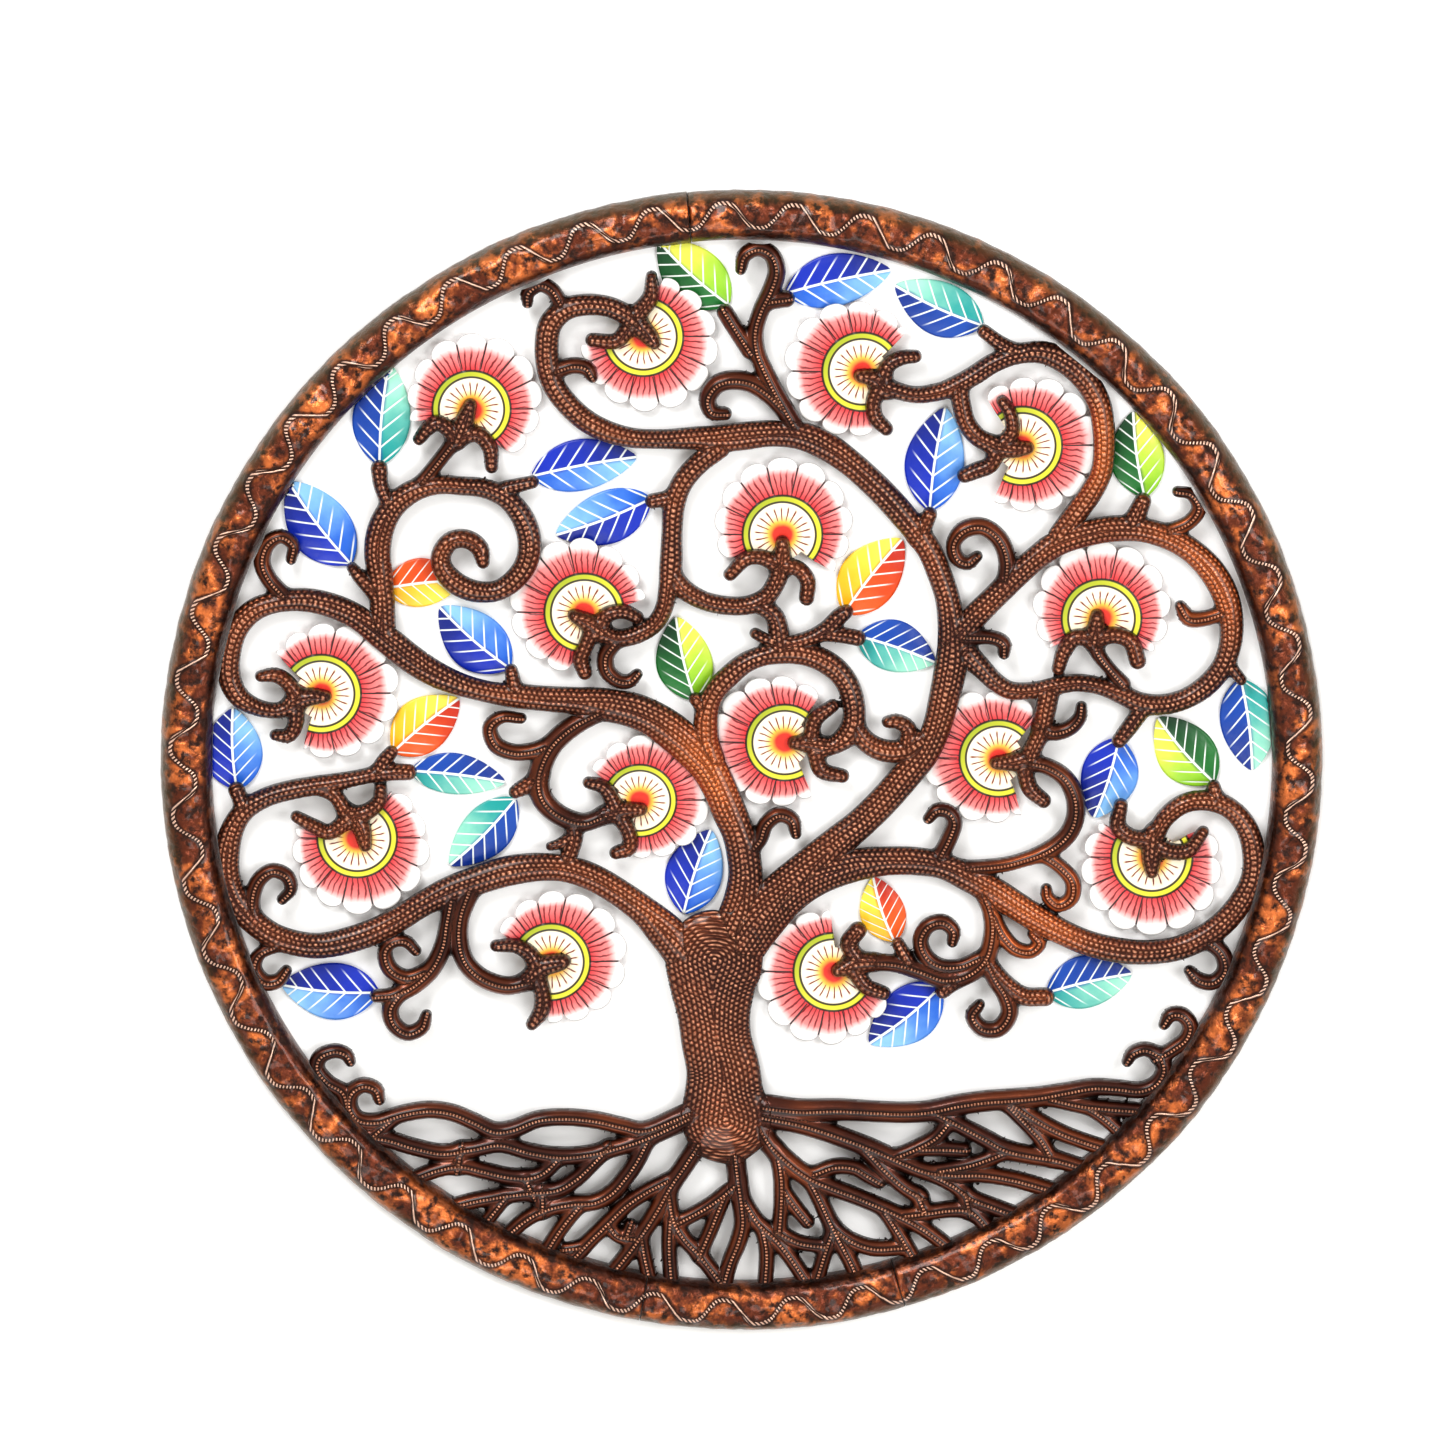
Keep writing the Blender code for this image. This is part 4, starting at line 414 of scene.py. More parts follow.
        ("root", [(-60, -250, 7.5), (-57.5, -243, 6.5)]),
        ("root", [(-52, -249, 8), (-50, -261, 8.5), (-46, -278, 8.5)]),
        ("root", [(-38, -225, 9), (-35.5, -240, 9), (-30, -250, 9), (-21, -260, 9), (-8, -277, 8.5)]),
        ("root", [(-37, -240, 8.5), (-37.5, -256, 8.5), (-36, -277, 8.5)]),
        ("root", [(-2, -221, 8.5), (-12, -229.5, 8.5), (-21, -235.5, 8.5), (-33, -242, 8.5)]),
        ("root", [(-9, -228, 7.5), (-13, -238, 8.5), (-17, -248, 8.5), (-22, -260, 8)]),
    ],
}

buildOrder = ["trunk", "bough_right", "bough_left", "limb_lower_left", "limb_lower_right", "limb_right",
         "limb_upper_right", "limb_upper_left", "limb_centre", "limb_middle", "limb_loop",
         "limb_spiral", "tendril_top", "roots_right", "roots_left"]

# Each flower: across, up, the direction of its calyx in degrees, and its size.
flowerSpots = {
    "flower_01": (-137.7, 190.5, 250, 0.98),
    "flower_02": (-47.5, 220.1, 130, 1.0),
    "flower_03": (57.3, 206.9, 345, 1.0),
    "flower_04": (149.7, 167.2, 185, 1.0),
    "flower_05": (21.5, 125.0, 265, 1.0),
    "flower_06": (-84.8, 82.6, 315, 1.0),
    "flower_07": (-212.4, 37.7, 195, 1.0),
    "flower_08": (186.0, 81.0, 268, 1.0),
    "flower_09": (17.4, 11.2, 355, 0.97),
    "flower_10": (-48.5, -17.9, 205, 0.92),
    "flower_11": (127.9, 3.3, 350, 0.98),
    "flower_12": (-196.9, -44.3, 112, 1.0),
    "flower_13": (211.9, -54.9, 88, 1.02),
    "flower_14": (-94.2, -102.5, 208, 0.98),
    "flower_15": (43.3, -113.0, 35, 1.0),
}

# Each leaf: its foot across and up, its tip across and up, and its width.
leafSpots = {
    "leaf_01": (-187, 156, -182, 209, 1.0),
    "leaf_02": (-7, 240, -43, 273, 1.02),
    "leaf_03": (23, 246, 77, 258, 0.92),
    "leaf_04": (124, 229, 79, 250, 0.94),
    "leaf_05": (-202, 104, -234, 147, 1.06),
    "leaf_06": (-108, 150, -54, 160, 0.9),
    "leaf_07": (-47, 138, -96, 119, 0.92),
    "leaf_08": (97, 132, 105, 186, 1.02),
    "leaf_09": (208, 139, 202, 184, 0.93),
    "leaf_10": (-184, 91, -144, 95, 0.85),
    "leaf_11": (-120, 49, -156, 81, 1.0),
    "leaf_12": (-24, 32, -34, 76, 0.97),
    "leaf_13": (53, 78, 83, 117, 1.02),
    "leaf_14": (60, 66, 100, 52, 0.9),
    "leaf_15": (-261, -15, -263, 28, 1.03),
    "leaf_16": (-180, 5, -146, 33, 0.95),
    "leaf_17": (-171, -5, -122, -11, 0.72),
    "leaf_18": (-117, -20, -151, -55, 0.86),
    "leaf_19": (-30, -80, -16, -36, 0.98),
    "leaf_20": (258, 43, 264, -5, 0.98),
    "leaf_21": (244, -11, 215, 23, 1.0),
    "leaf_22": (195, 12, 182, -30, 0.98),
    "leaf_23": (79, -95, 68, -61, 0.78),
    "leaf_24": (-188, -122, -238, -118, 1.0),
    "leaf_25": (103, -119, 66, -149, 0.97),
    "leaf_26": (158, -122, 202, -112, 0.92),
}


# Embossed sheet steel under glossy red-brown lacquer, in offset rows of punched dots. The dots' crests carry
# a painted copper-pink highlight; between the dots, beside the bead lines and at the edges the lacquer pools
# dark, deepened as painted shade.
embossedSteel = {
    "pooledLacquerAndShade": "#1d0b07", "lacquer": "#4a2013", "crestHighlight": "#d39576", "warm": "#c06430",
    "rowPitch": 2.4, "dotPitch": 2.9, "beadPitch": 1.75, "beadHalf": 0.95,
    "dotRise": 0.7, "roughness": 0.3, "metallic": 0.72, "coat": 0.35,
}


def makeEmbossedSteel(name, spec):
    made, tree = newMaterial(name)
    along = addNode(tree, "Attribute", {"attribute_name": "along"}).node.outputs["Fac"]
    across = addNode(tree, "Attribute", {"attribute_name": "across"}).node.outputs["Fac"]
    inside = addNode(tree, "Attribute", {"attribute_name": "inside"}).node.outputs["Fac"]
    dotted = addNode(tree, "Attribute", {"attribute_name": "dotted"}).node.outputs["Fac"]
    beaded = addNode(tree, "Attribute", {"attribute_name": "beaded"}).node.outputs["Fac"]
    warmth = addNode(tree, "Attribute", {"attribute_name": "warmth"}).node.outputs["Fac"]
    place = addNode(tree, "TexCoord").node.outputs["Object"]

    # A little wander, so the hand-punched rows aren't ruled.
    wander = addNode(tree, "TexNoise", None, {"Vector": place, "Scale": 140.0, "Detail": 2.0})
    depth = addNode(tree, "Math", {"operation": "MULTIPLY_ADD"}, {0: wander, 1: 1.5, 2: inside})
    rows = addNode(tree, "Math", {"operation": "DIVIDE"}, {0: depth, 1: spec["rowPitch"]})
    whole = addNode(tree, "Math", {"operation": "FLOOR"}, {0: rows})
    shift = addNode(tree, "Math", {"operation": "MULTIPLY"}, {0: whole, 1: 0.5})
    steps = addNode(tree, "Math", {"operation": "DIVIDE"}, {0: along, 1: spec["dotPitch"]})
    steps = addNode(tree, "Math", {"operation": "MULTIPLY_ADD"}, {0: wander, 1: 0.8, 2: steps})
    steps = addNode(tree, "Math", {"operation": "ADD"}, {0: steps, 1: shift})
    waveA = addNode(tree, "Math", {"operation": "MULTIPLY"}, {0: steps, 1: math.pi})
    waveA = addNode(tree, "Math", {"operation": "SINE"}, {0: waveA})
    waveB = addNode(tree, "Math", {"operation": "MULTIPLY"}, {0: rows, 1: math.pi})
    waveB = addNode(tree, "Math", {"operation": "SINE"}, {0: waveB})
    dots = addNode(tree, "Math", {"operation": "MULTIPLY"}, {0: waveA, 1: waveB})
    dots = addNode(tree, "Math", {"operation": "ABSOLUTE"}, {0: dots})
    dots = addNode(tree, "Math", {"operation": "MULTIPLY"}, {0: dots, 1: dotted})

    # The chiselled bead line down the middle of curls and roots.
    beat = addNode(tree, "Math", {"operation": "MULTIPLY"}, {0: along, 1: math.pi / spec["beadPitch"]})
    beat = addNode(tree, "Math", {"operation": "SINE"}, {0: beat})
    beat = addNode(tree, "Math", {"operation": "ABSOLUTE"}, {0: beat})
    off = addNode(tree, "Math", {"operation": "ABSOLUTE"}, {0: across})
    ridge = addNode(tree, "MapRange", {"interpolation_type": "SMOOTHSTEP"},
                    {"Value": off, "From Min": spec["beadHalf"] * 0.55, "From Max": spec["beadHalf"] * 1.15,
                     "To Min": 1.0, "To Max": 0.0})
    bead = addNode(tree, "Math", {"operation": "MULTIPLY"}, {0: ridge, 1: beat})
    bead = addNode(tree, "Math", {"operation": "MULTIPLY"}, {0: bead, 1: beaded})
    groove = addNode(tree, "MapRange", {"interpolation_type": "SMOOTHSTEP"},
                     {"Value": off, "From Min": spec["beadHalf"] * 1.2, "From Max": spec["beadHalf"] * 2.6,
                      "To Min": 1.0, "To Max": 0.0})
    groove = addNode(tree, "Math", {"operation": "SUBTRACT"}, {0: groove, 1: ridge})
    groove = addNode(tree, "Math", {"operation": "MULTIPLY"}, {0: groove, 1: beaded})

    raised = addNode(tree, "Math", {"operation": "ADD"}, {0: dots, 1: bead})
    soft = addNode(tree, "TexNoise", None, {"Vector": place, "Scale": 420.0, "Detail": 3.0})
    height = addNode(tree, "Math", {"operation": "MULTIPLY_ADD"}, {0: soft, 1: 0.25, 2: raised})
    height = addNode(tree, "Math", {"operation": "MULTIPLY_ADD"}, {0: groove, 1: -0.5, 2: height})
    bump = addNode(tree, "Bump", None, {"Strength": 1.0, "Distance": spec["dotRise"] * mm, "Height": height})

    edge = addNode(tree, "MapRange", {"interpolation_type": "SMOOTHSTEP"},
                   {"Value": inside, "From Min": 0.1, "From Max": 1.5})
    patch = addNode(tree, "TexNoise", None, {"Vector": place, "Scale": 22.0, "Detail": 3.0})
    patch = addNode(tree, "MapRange", None, {"Value": patch, "From Min": 0.4, "From Max": 0.7})
    patch = addNode(tree, "Math", {"operation": "MULTIPLY_ADD", "use_clamp": True},
                    {0: patch, 1: 0.3, 2: warmth})
    base = addNode(tree, "Mix", {"data_type": "RGBA"},
                   {0: patch, 6: toLinear(spec["lacquer"]), 7: toLinear(spec["warm"])}).node.outputs[2]
    # Painted highlight: the raised dots and beads turn copper-pink on their crests, unevenly.
    lit = addNode(tree, "MapRange", None, {"Value": raised, "From Min": 0.42, "From Max": 1.0})
    uneven = addNode(tree, "MapRange", None, {"Value": soft, "From Min": 0.35, "From Max": 0.62,
                                              "To Min": 0.35, "To Max": 1.0})
    lit = addNode(tree, "Math", {"operation": "MULTIPLY"}, {0: lit, 1: uneven})
    base = addNode(tree, "Mix", {"data_type": "RGBA"},
                   {0: lit, 6: base, 7: toLinear(spec["crestHighlight"])}).node.outputs[2]
    # Painted shade with pooled lacquer: darker between the dots, in the grooves beside the bead line and
    # along the rounded edges.
    shadeAndPooling = addNode(tree, "Math", {"operation": "MULTIPLY_ADD", "use_clamp": True},
                   {0: groove, 1: -0.9, 2: edge})
    low = addNode(tree, "MapRange", None, {"Value": dots, "From Min": 0.0, "From Max": 0.35,
                                           "To Min": 0.35, "To Max": 1.0})
    bare = addNode(tree, "Math", {"operation": "SUBTRACT", "use_clamp": True}, {0: 1.0, 1: dotted})
    low = addNode(tree, "Math", {"operation": "MAXIMUM"}, {0: low, 1: bare})
    shadeAndPooling = addNode(tree, "Math", {"operation": "MULTIPLY"}, {0: shadeAndPooling, 1: low})
    base = addNode(tree, "Mix", {"data_type": "RGBA"},
                   {0: shadeAndPooling, 6: toLinear(spec["pooledLacquerAndShade"]), 7: base}).node.outputs[2]
    shader = addNode(tree, "BsdfPrincipled", None,
                     {"Base Color": base, "Metallic": spec["metallic"], "Roughness": spec["roughness"],
                      "Coat Weight": spec["coat"], "Coat Roughness": 0.12, "Normal": bump})
    closeMaterial(tree, shader)
    return made


strandShape = {
    "grid": 0.8,            # mesh spacing
    "limbRise": 6.4, "trunkRise": 7.4, "thinShare": 0.62,
    "webbing": 0.9,         # how softly strands run into each other
    "dotted": {"trunk": 1.0, "bough": 1.0, "limb": 1.0, "calyx": 0.9, "curl": 0.0, "root": 0.0},
    "beaded": {"trunk": 0.0, "bough": 0.0, "limb": 0.0, "calyx": 0.0, "curl": 1.0, "root": 1.0},
    "warmSpots": [(-20, 0, 26), (240, 100, 30), (150, -80, 30), (185, 165, 26), (-40, -60, 20)],
}


def smoothPath(points, step):
    # A smooth curve through the points, read at even steps: across, up, width, travel.
    given = np.array(points, float)
    if len(given) == 2:
        given = np.array([given[0], (given[0] + given[1]) / 2.0, given[1]])
    given = np.vstack([given[0] * 2 - given[1], given, given[-1] * 2 - given[-2]])
    t = np.linspace(0.0, 1.0, 12, endpoint=False)[:, None]
    parts = []
    for i in range(1, len(given) - 2):
        a, b, c, d = given[i - 1:i + 3]
        parts.append(0.5 * (2 * b + (c - a) * t + (2 * a - 5 * b + 4 * c - d) * t ** 2
                            + (3 * b - a - 3 * c + d) * t ** 3))
    fine = np.vstack(parts + [given[-2:-1]])
    travel = np.concatenate([[0.0], np.cumsum(np.hypot(*np.diff(fine[:, :2], axis=0).T))])
    goal = np.linspace(0.0, travel[-1], max(3, int(travel[-1] / step) + 1))
    return np.column_stack([np.interp(goal, travel, fine[:, k]) for k in range(3)] + [goal])


def gatherStrands():
    strands = []
    for rank, node in enumerate(buildOrder):
        for family, points in treeLines[node]:
            path = smoothPath(points, 1.6)
            way = np.gradient(path[:, :2], axis=0)
            way /= np.maximum(np.hypot(way[:, 0], way[:, 1]), 1e-9)[:, None]
            widest = path[:, 2].max()
            top = strandShape["trunkRise"] if family == "trunk" else strandShape["limbRise"]
            strands.append({"rank": rank, "family": family, "path": path, "way": way,
                            "rise": min(top, strandShape["thinShare"] * widest),
                            "low": (path[:, :2] - path[:, 2:3]).min(0) - 6.0,
                            "high": (path[:, :2] + path[:, 2:3]).max(0) + 6.0})
    return strands


def strandField(spots, strands, rank):
    # Signed distances to the outlines (own, earlier pieces, all), and what each spot's strand says.
    count = len(spots)
    soft = strandShape["webbing"]
    own, prior, every = np.full(count, 1e-12), np.full(count, 1e-12), np.full(count, 1e-12)
    weight = np.full(count, 1e-9)
    blend = {key: np.zeros(count) for key in ("rise", "half", "dotted", "beaded")}
    best = np.full(count, 1e9)
    facts = {key: np.zeros(count) for key in ("along", "across", "inside")}
    for strand in strands:
        near = np.nonzero((spots > strand["low"]).all(1) & (spots < strand["high"]).all(1))[0]
        path, way = strand["path"], strand["way"]
        for chosen in np.array_split(near, max(1, len(near) * len(path) // 4000000 + 1)):
            if not len(chosen):
                continue
            here = spots[chosen]
            gap = np.hypot(here[:, :1] - path[:, 0], here[:, 1:] - path[:, 1]) - path[:, 2] / 2.0
            index = gap.argmin(1)
            away = here - path[index, :2]
            forward = (away * way[index]).sum(1)
            sideways = away[:, 1] * way[index, 0] - away[:, 0] * way[index, 1]
            past = np.where(index == 0, np.maximum(-forward, 0.0),
                            np.where(index == len(path) - 1, np.maximum(forward, 0.0), 0.0))
            half = path[index, 2] / 2.0
            gap = np.hypot(past, sideways) - half
            pull = np.exp(np.clip(-gap / soft, -40.0, 40.0))
            every[chosen] += pull
            if strand["rank"] == rank:
                own[chosen] += pull
            elif strand["rank"] < rank:
                prior[chosen] += pull
            share = np.exp(np.clip(-gap / 1.6, -30.0, 30.0))
            weight[chosen] += share
            blend["rise"][chosen] += share * strand["rise"]
            blend["half"][chosen] += share * half
            blend["dotted"][chosen] += share * strandShape["dotted"][strand["family"]]
            blend["beaded"][chosen] += share * strandShape["beaded"][strand["family"]]
            closer = gap < best[chosen]
            picked = chosen[closer]
            best[picked] = gap[closer]
            facts["along"][picked] = (path[index, 3] + forward)[closer]
            facts["across"][picked] = sideways[closer]
            facts["inside"][picked] = -gap[closer]
    for key in blend:
        facts[key] = blend[key] / weight
    radius = np.hypot(spots[:, 0], spots[:, 1])
    ownGap = np.maximum(-soft * np.log(own), radius - plaque["innerRadius"] + 0.3)
    outline = np.maximum(ownGap, soft * np.log(prior) + 0.12)
    return outline, -soft * np.log(every), facts


def makeTreePiece(node, strands, material):
    rank = buildOrder.index(node)
    mine = [s for s in strands if s["rank"] == rank]
    low = np.min([s["low"] for s in mine], axis=0) + 5.0
    high = np.max([s["high"] for s in mine], axis=0) - 5.0
    cells = np.maximum(((high - low) / strandShape["grid"]).astype(int), 4)
    work = bmesh.new()
    bmesh.ops.create_grid(work, x_segments=int(cells[0]), y_segments=int(cells[1]), size=1.0)
    mesh = bpy.data.meshes.new(node + "Steel")
    work.to_mesh(mesh)
    work.free()
    spots = (readPlaces(mesh)[:, :2] + 1.0) / 2.0 * (high - low) + low
    nearby = [s for s in strands if (s["low"] < high).all() and (s["high"] > low).all()]
    outline, union, facts = strandField(spots, nearby, rank)

    # Cells wholly outside go, and the corners left outside slide onto the outline.
    writePlaces(mesh, np.column_stack([spots[:, 0], outline, spots[:, 1]]))
    work = bmesh.new()
    work.from_mesh(mesh)
    bmesh.ops.delete(work, geom=[f for f in work.faces if all(v.co.y > 0.0 for v in f.verts)],
                     context="FACES")
    work.to_mesh(mesh)
    work.free()
    spots = readPlaces(mesh)[:, [0, 2]]
    for sweep in range(3):
        outline, union, facts = strandField(spots, nearby, rank)
        rim = np.nonzero(outline > 0.0)[0]
        if not len(rim) or sweep == 2:
            break
        reach = 0.1
        slope = np.column_stack([
            strandField(spots[rim] + [reach, 0.0], nearby, rank)[0] - outline[rim],
            strandField(spots[rim] + [0.0, reach], nearby, rank)[0] - outline[rim]]) / reach
        steep = np.maximum((slope ** 2).sum(1), 0.3)
        move = -slope * (outline[rim] / steep)[:, None]
        size = np.maximum(np.hypot(move[:, 0], move[:, 1]), 1e-9)
        spots[rim] += move * np.minimum(1.0, strandShape["grid"] * 1.2 / size)[:, None]

    depth = np.clip(-union / np.maximum(facts["half"], 1.0), 0.0, 1.0)
    crown = np.sqrt(np.clip(1.0 - (1.0 - depth) ** 2, 0.0, 1.0)) * facts["rise"]
    front = plaque["wallPlane"] - plaque["limbBack"] - crown
    writePlaces(mesh, np.column_stack([spots[:, 0], front, spots[:, 1]]) * mm)
    for key in ("along", "across", "inside", "dotted", "beaded"):
        setAttribute(mesh, key, facts[key])
    warmth = np.zeros(len(spots))
    for x, z, size in strandShape["warmSpots"]:
        warmth = np.maximum(warmth, np.exp(-((spots[:, 0] - x) ** 2 + (spots[:, 1] - z) ** 2) / size ** 2))
    setAttribute(mesh, "warmth", warmth)
    faceFront(mesh)
    name = "".join([node.split("_")[0]] + [part.title() for part in node.split("_")[1:]]) + "Steel"
    return finishPiece(name, mesh, material, [node], plaque["sheet"])


# Hammered drum steel under clear coppery lacquer, mottled orange-copper on dark brown. A painted highlight
# makes each hammer lump more copper on top, leaving it browner at its foot; painted shade lies green-brown
# along the outer edge, dark at the inner edge and beside the wave, and the wave's ticks carry painted glints.
hammeredRim = {
    "width": 26.0, "height": 15.0, "profilePoints": 26, "stepsFullTurn": 1180,
    "seams": [95.4, 259.8, 286.5], "seamGap": 0.6,
    "lump": 1.6, "lumpSize": 8.5, "smoothBand": 7.5,
    "dark": "#31160b", "brown": "#6b3119", "copper": "#d9793f", "oliveShade": "#4e4127",
    "tick": "#f0c6b0", "waveCount": 50, "waveReach": 6.4, "waveMiddle": 11.3, "tickPitch": 2.4,
    "roughness": 0.34, "metallic": 0.7, "coat": 0.35,
}


def makeHammeredSteel(name, spec):
    made, tree = newMaterial(name)
    along = addNode(tree, "Attribute", {"attribute_name": "along"}).node.outputs["Fac"]
    across = addNode(tree, "Attribute", {"attribute_name": "across"}).node.outputs["Fac"]
    lump = addNode(tree, "Attribute", {"attribute_name": "lump"}).node.outputs["Fac"]
    place = addNode(tree, "TexCoord").node.outputs["Object"]
    outer = plaque["outerRadius"]

    # The chiselled wave: a row of ticks that swings in and out across the outer half.
    turns = addNode(tree, "Math", {"operation": "MULTIPLY"}, {0: along, 1: spec["waveCount"] / outer})
    swing = addNode(tree, "Math", {"operation": "SINE"}, {0: turns})
    # Rounder bows than a plain sine gives.
    rounding = addNode(tree, "Math", {"operation": "MULTIPLY"}, {0: swing, 1: swing})
    rounding = addNode(tree, "Math", {"operation": "MULTIPLY_ADD"}, {0: rounding, 1: -0.3, 2: 1.3})
    bow = addNode(tree, "Math", {"operation": "MULTIPLY"}, {0: swing, 1: rounding})
    middle = addNode(tree, "Math", {"operation": "MULTIPLY_ADD"},
                     {0: bow, 1: spec["waveReach"], 2: spec["waveMiddle"]})
    lean = addNode(tree, "Math", {"operation": "COSINE"}, {0: turns})
    lean = addNode(tree, "Math", {"operation": "MULTIPLY"},
                   {0: lean, 1: spec["waveReach"] * spec["waveCount"] / outer})
    lean = addNode(tree, "Math", {"operation": "MULTIPLY"}, {0: lean, 1: lean})
    lean = addNode(tree, "Math", {"operation": "ADD"}, {0: lean, 1: 1.0})
    lean = addNode(tree, "Math", {"operation": "SQRT"}, {0: lean})
    off = addNode(tree, "Math", {"operation": "SUBTRACT"}, {0: across, 1: middle})
    off = addNode(tree, "Math", {"operation": "ABSOLUTE"}, {0: off})
    off = addNode(tree, "Math", {"operation": "DIVIDE"}, {0: off, 1: lean})
    line = addNode(tree, "MapRange", {"interpolation_type": "SMOOTHSTEP"},
                   {"Value": off, "From Min": 0.7, "From Max": 1.3, "To Min": 1.0, "To Max": 0.0})
    grooveShade = addNode(tree, "MapRange", {"interpolation_type": "SMOOTHSTEP"},
                     {"Value": off, "From Min": 1.3, "From Max": 2.8, "To Min": 0.85, "To Max": 0.0})
    run = addNode(tree, "Math", {"operation": "MULTIPLY"}, {0: across, 1: 0.9})
    run = addNode(tree, "Math", {"operation": "ADD"}, {0: run, 1: along})
    beat = addNode(tree, "Math", {"operation": "MULTIPLY"}, {0: run, 1: math.pi / spec["tickPitch"]})
    beat = addNode(tree, "Math", {"operation": "SINE"}, {0: beat})
    beat = addNode(tree, "Math", {"operation": "ABSOLUTE"}, {0: beat})
    tick = addNode(tree, "Math", {"operation": "MULTIPLY"}, {0: line, 1: beat})

    grain = addNode(tree, "TexNoise", None,
                    {"Vector": place, "Scale": 190.0, "Detail": 4.0, "Roughness": 0.6})
    blows = addNode(tree, "TexVoronoi", {"feature": "SMOOTH_F1"},
                    {"Vector": place, "Scale": 210.0, "Smoothness": 0.6, "Randomness": 1.0})
    rubbed = addNode(tree, "TexNoise", None,
                     {"Vector": place, "Scale": 40.0, "Detail": 5.0, "Roughness": 0.65})
    # Copper patches of the lacquer's own mottling, brightened on the tops of the hammer lumps as a painted
    # highlight.
    lit = addNode(tree, "Math", {"operation": "MULTIPLY_ADD"}, {0: lump, 1: 0.2, 2: rubbed})
    lit = addNode(tree, "MapRange", {"interpolation_type": "SMOOTHSTEP"},
                  {"Value": lit, "From Min": 0.46, "From Max": 0.66})
    base = addNode(tree, "Mix", {"data_type": "RGBA"},
                   {0: lit, 6: toLinear(spec["brown"]), 7: toLinear(spec["copper"])}).node.outputs[2]
    low = addNode(tree, "MapRange", {"interpolation_type": "SMOOTHSTEP"},
                  {"Value": grain, "From Min": 0.36, "From Max": 0.56})
    base = addNode(tree, "Mix", {"data_type": "RGBA"},
                   {0: low, 6: toLinear(spec["dark"]), 7: base}).node.outputs[2]
    # Painted shade: darker green-brown along the outer edge, where the rim curves down towards the wall.
    outerEdgeShade = addNode(tree, "MapRange", {"interpolation_type": "SMOOTHSTEP"},
                      {"Value": across, "From Min": 0.5, "From Max": 8.0, "To Min": 0.75, "To Max": 0.0})
    base = addNode(tree, "Mix", {"data_type": "RGBA"},
                   {0: outerEdgeShade, 6: base, 7: toLinear(spec["oliveShade"])}).node.outputs[2]
    # Painted shade beside the wave line, as in a groove.
    base = addNode(tree, "Mix", {"data_type": "RGBA"},
                   {0: grooveShade, 6: base, 7: toLinear(spec["dark"])}).node.outputs[2]
    # Painted glints: the wave's ticks turn pale pink.
    shine = addNode(tree, "MapRange", None, {"Value": tick, "From Min": 0.45, "From Max": 0.85})
    base = addNode(tree, "Mix", {"data_type": "RGBA"},
                   {0: shine, 6: base, 7: toLinear(spec["tick"])}).node.outputs[2]
    # Painted shade: darker towards the inner edge, where the rim drops to the wall.
    inner = addNode(tree, "MapRange", {"interpolation_type": "SMOOTHSTEP"},
                    {"Value": across, "From Min": 18.5, "From Max": 23.0, "To Min": 0.0, "To Max": 0.7})
    base = addNode(tree, "Mix", {"data_type": "RGBA"},
                   {0: inner, 6: base, 7: toLinear(spec["dark"])}).node.outputs[2]
    height = addNode(tree, "Math", {"operation": "MULTIPLY_ADD"}, {0: tick, 1: 1.0, 2: grain})
    height = addNode(tree, "Math", {"operation": "MULTIPLY_ADD"}, {0: blows, 1: -0.7, 2: height})
    bump = addNode(tree, "Bump", None, {"Strength": 1.0, "Distance": 1.0 * mm, "Height": height})
    shader = addNode(tree, "BsdfPrincipled", None,
                     {"Base Color": base, "Metallic": spec["metallic"], "Roughness": spec["roughness"],
                      "Coat Weight": spec["coat"], "Coat Roughness": 0.12, "Normal": bump})
    closeMaterial(tree, shader)
    return made


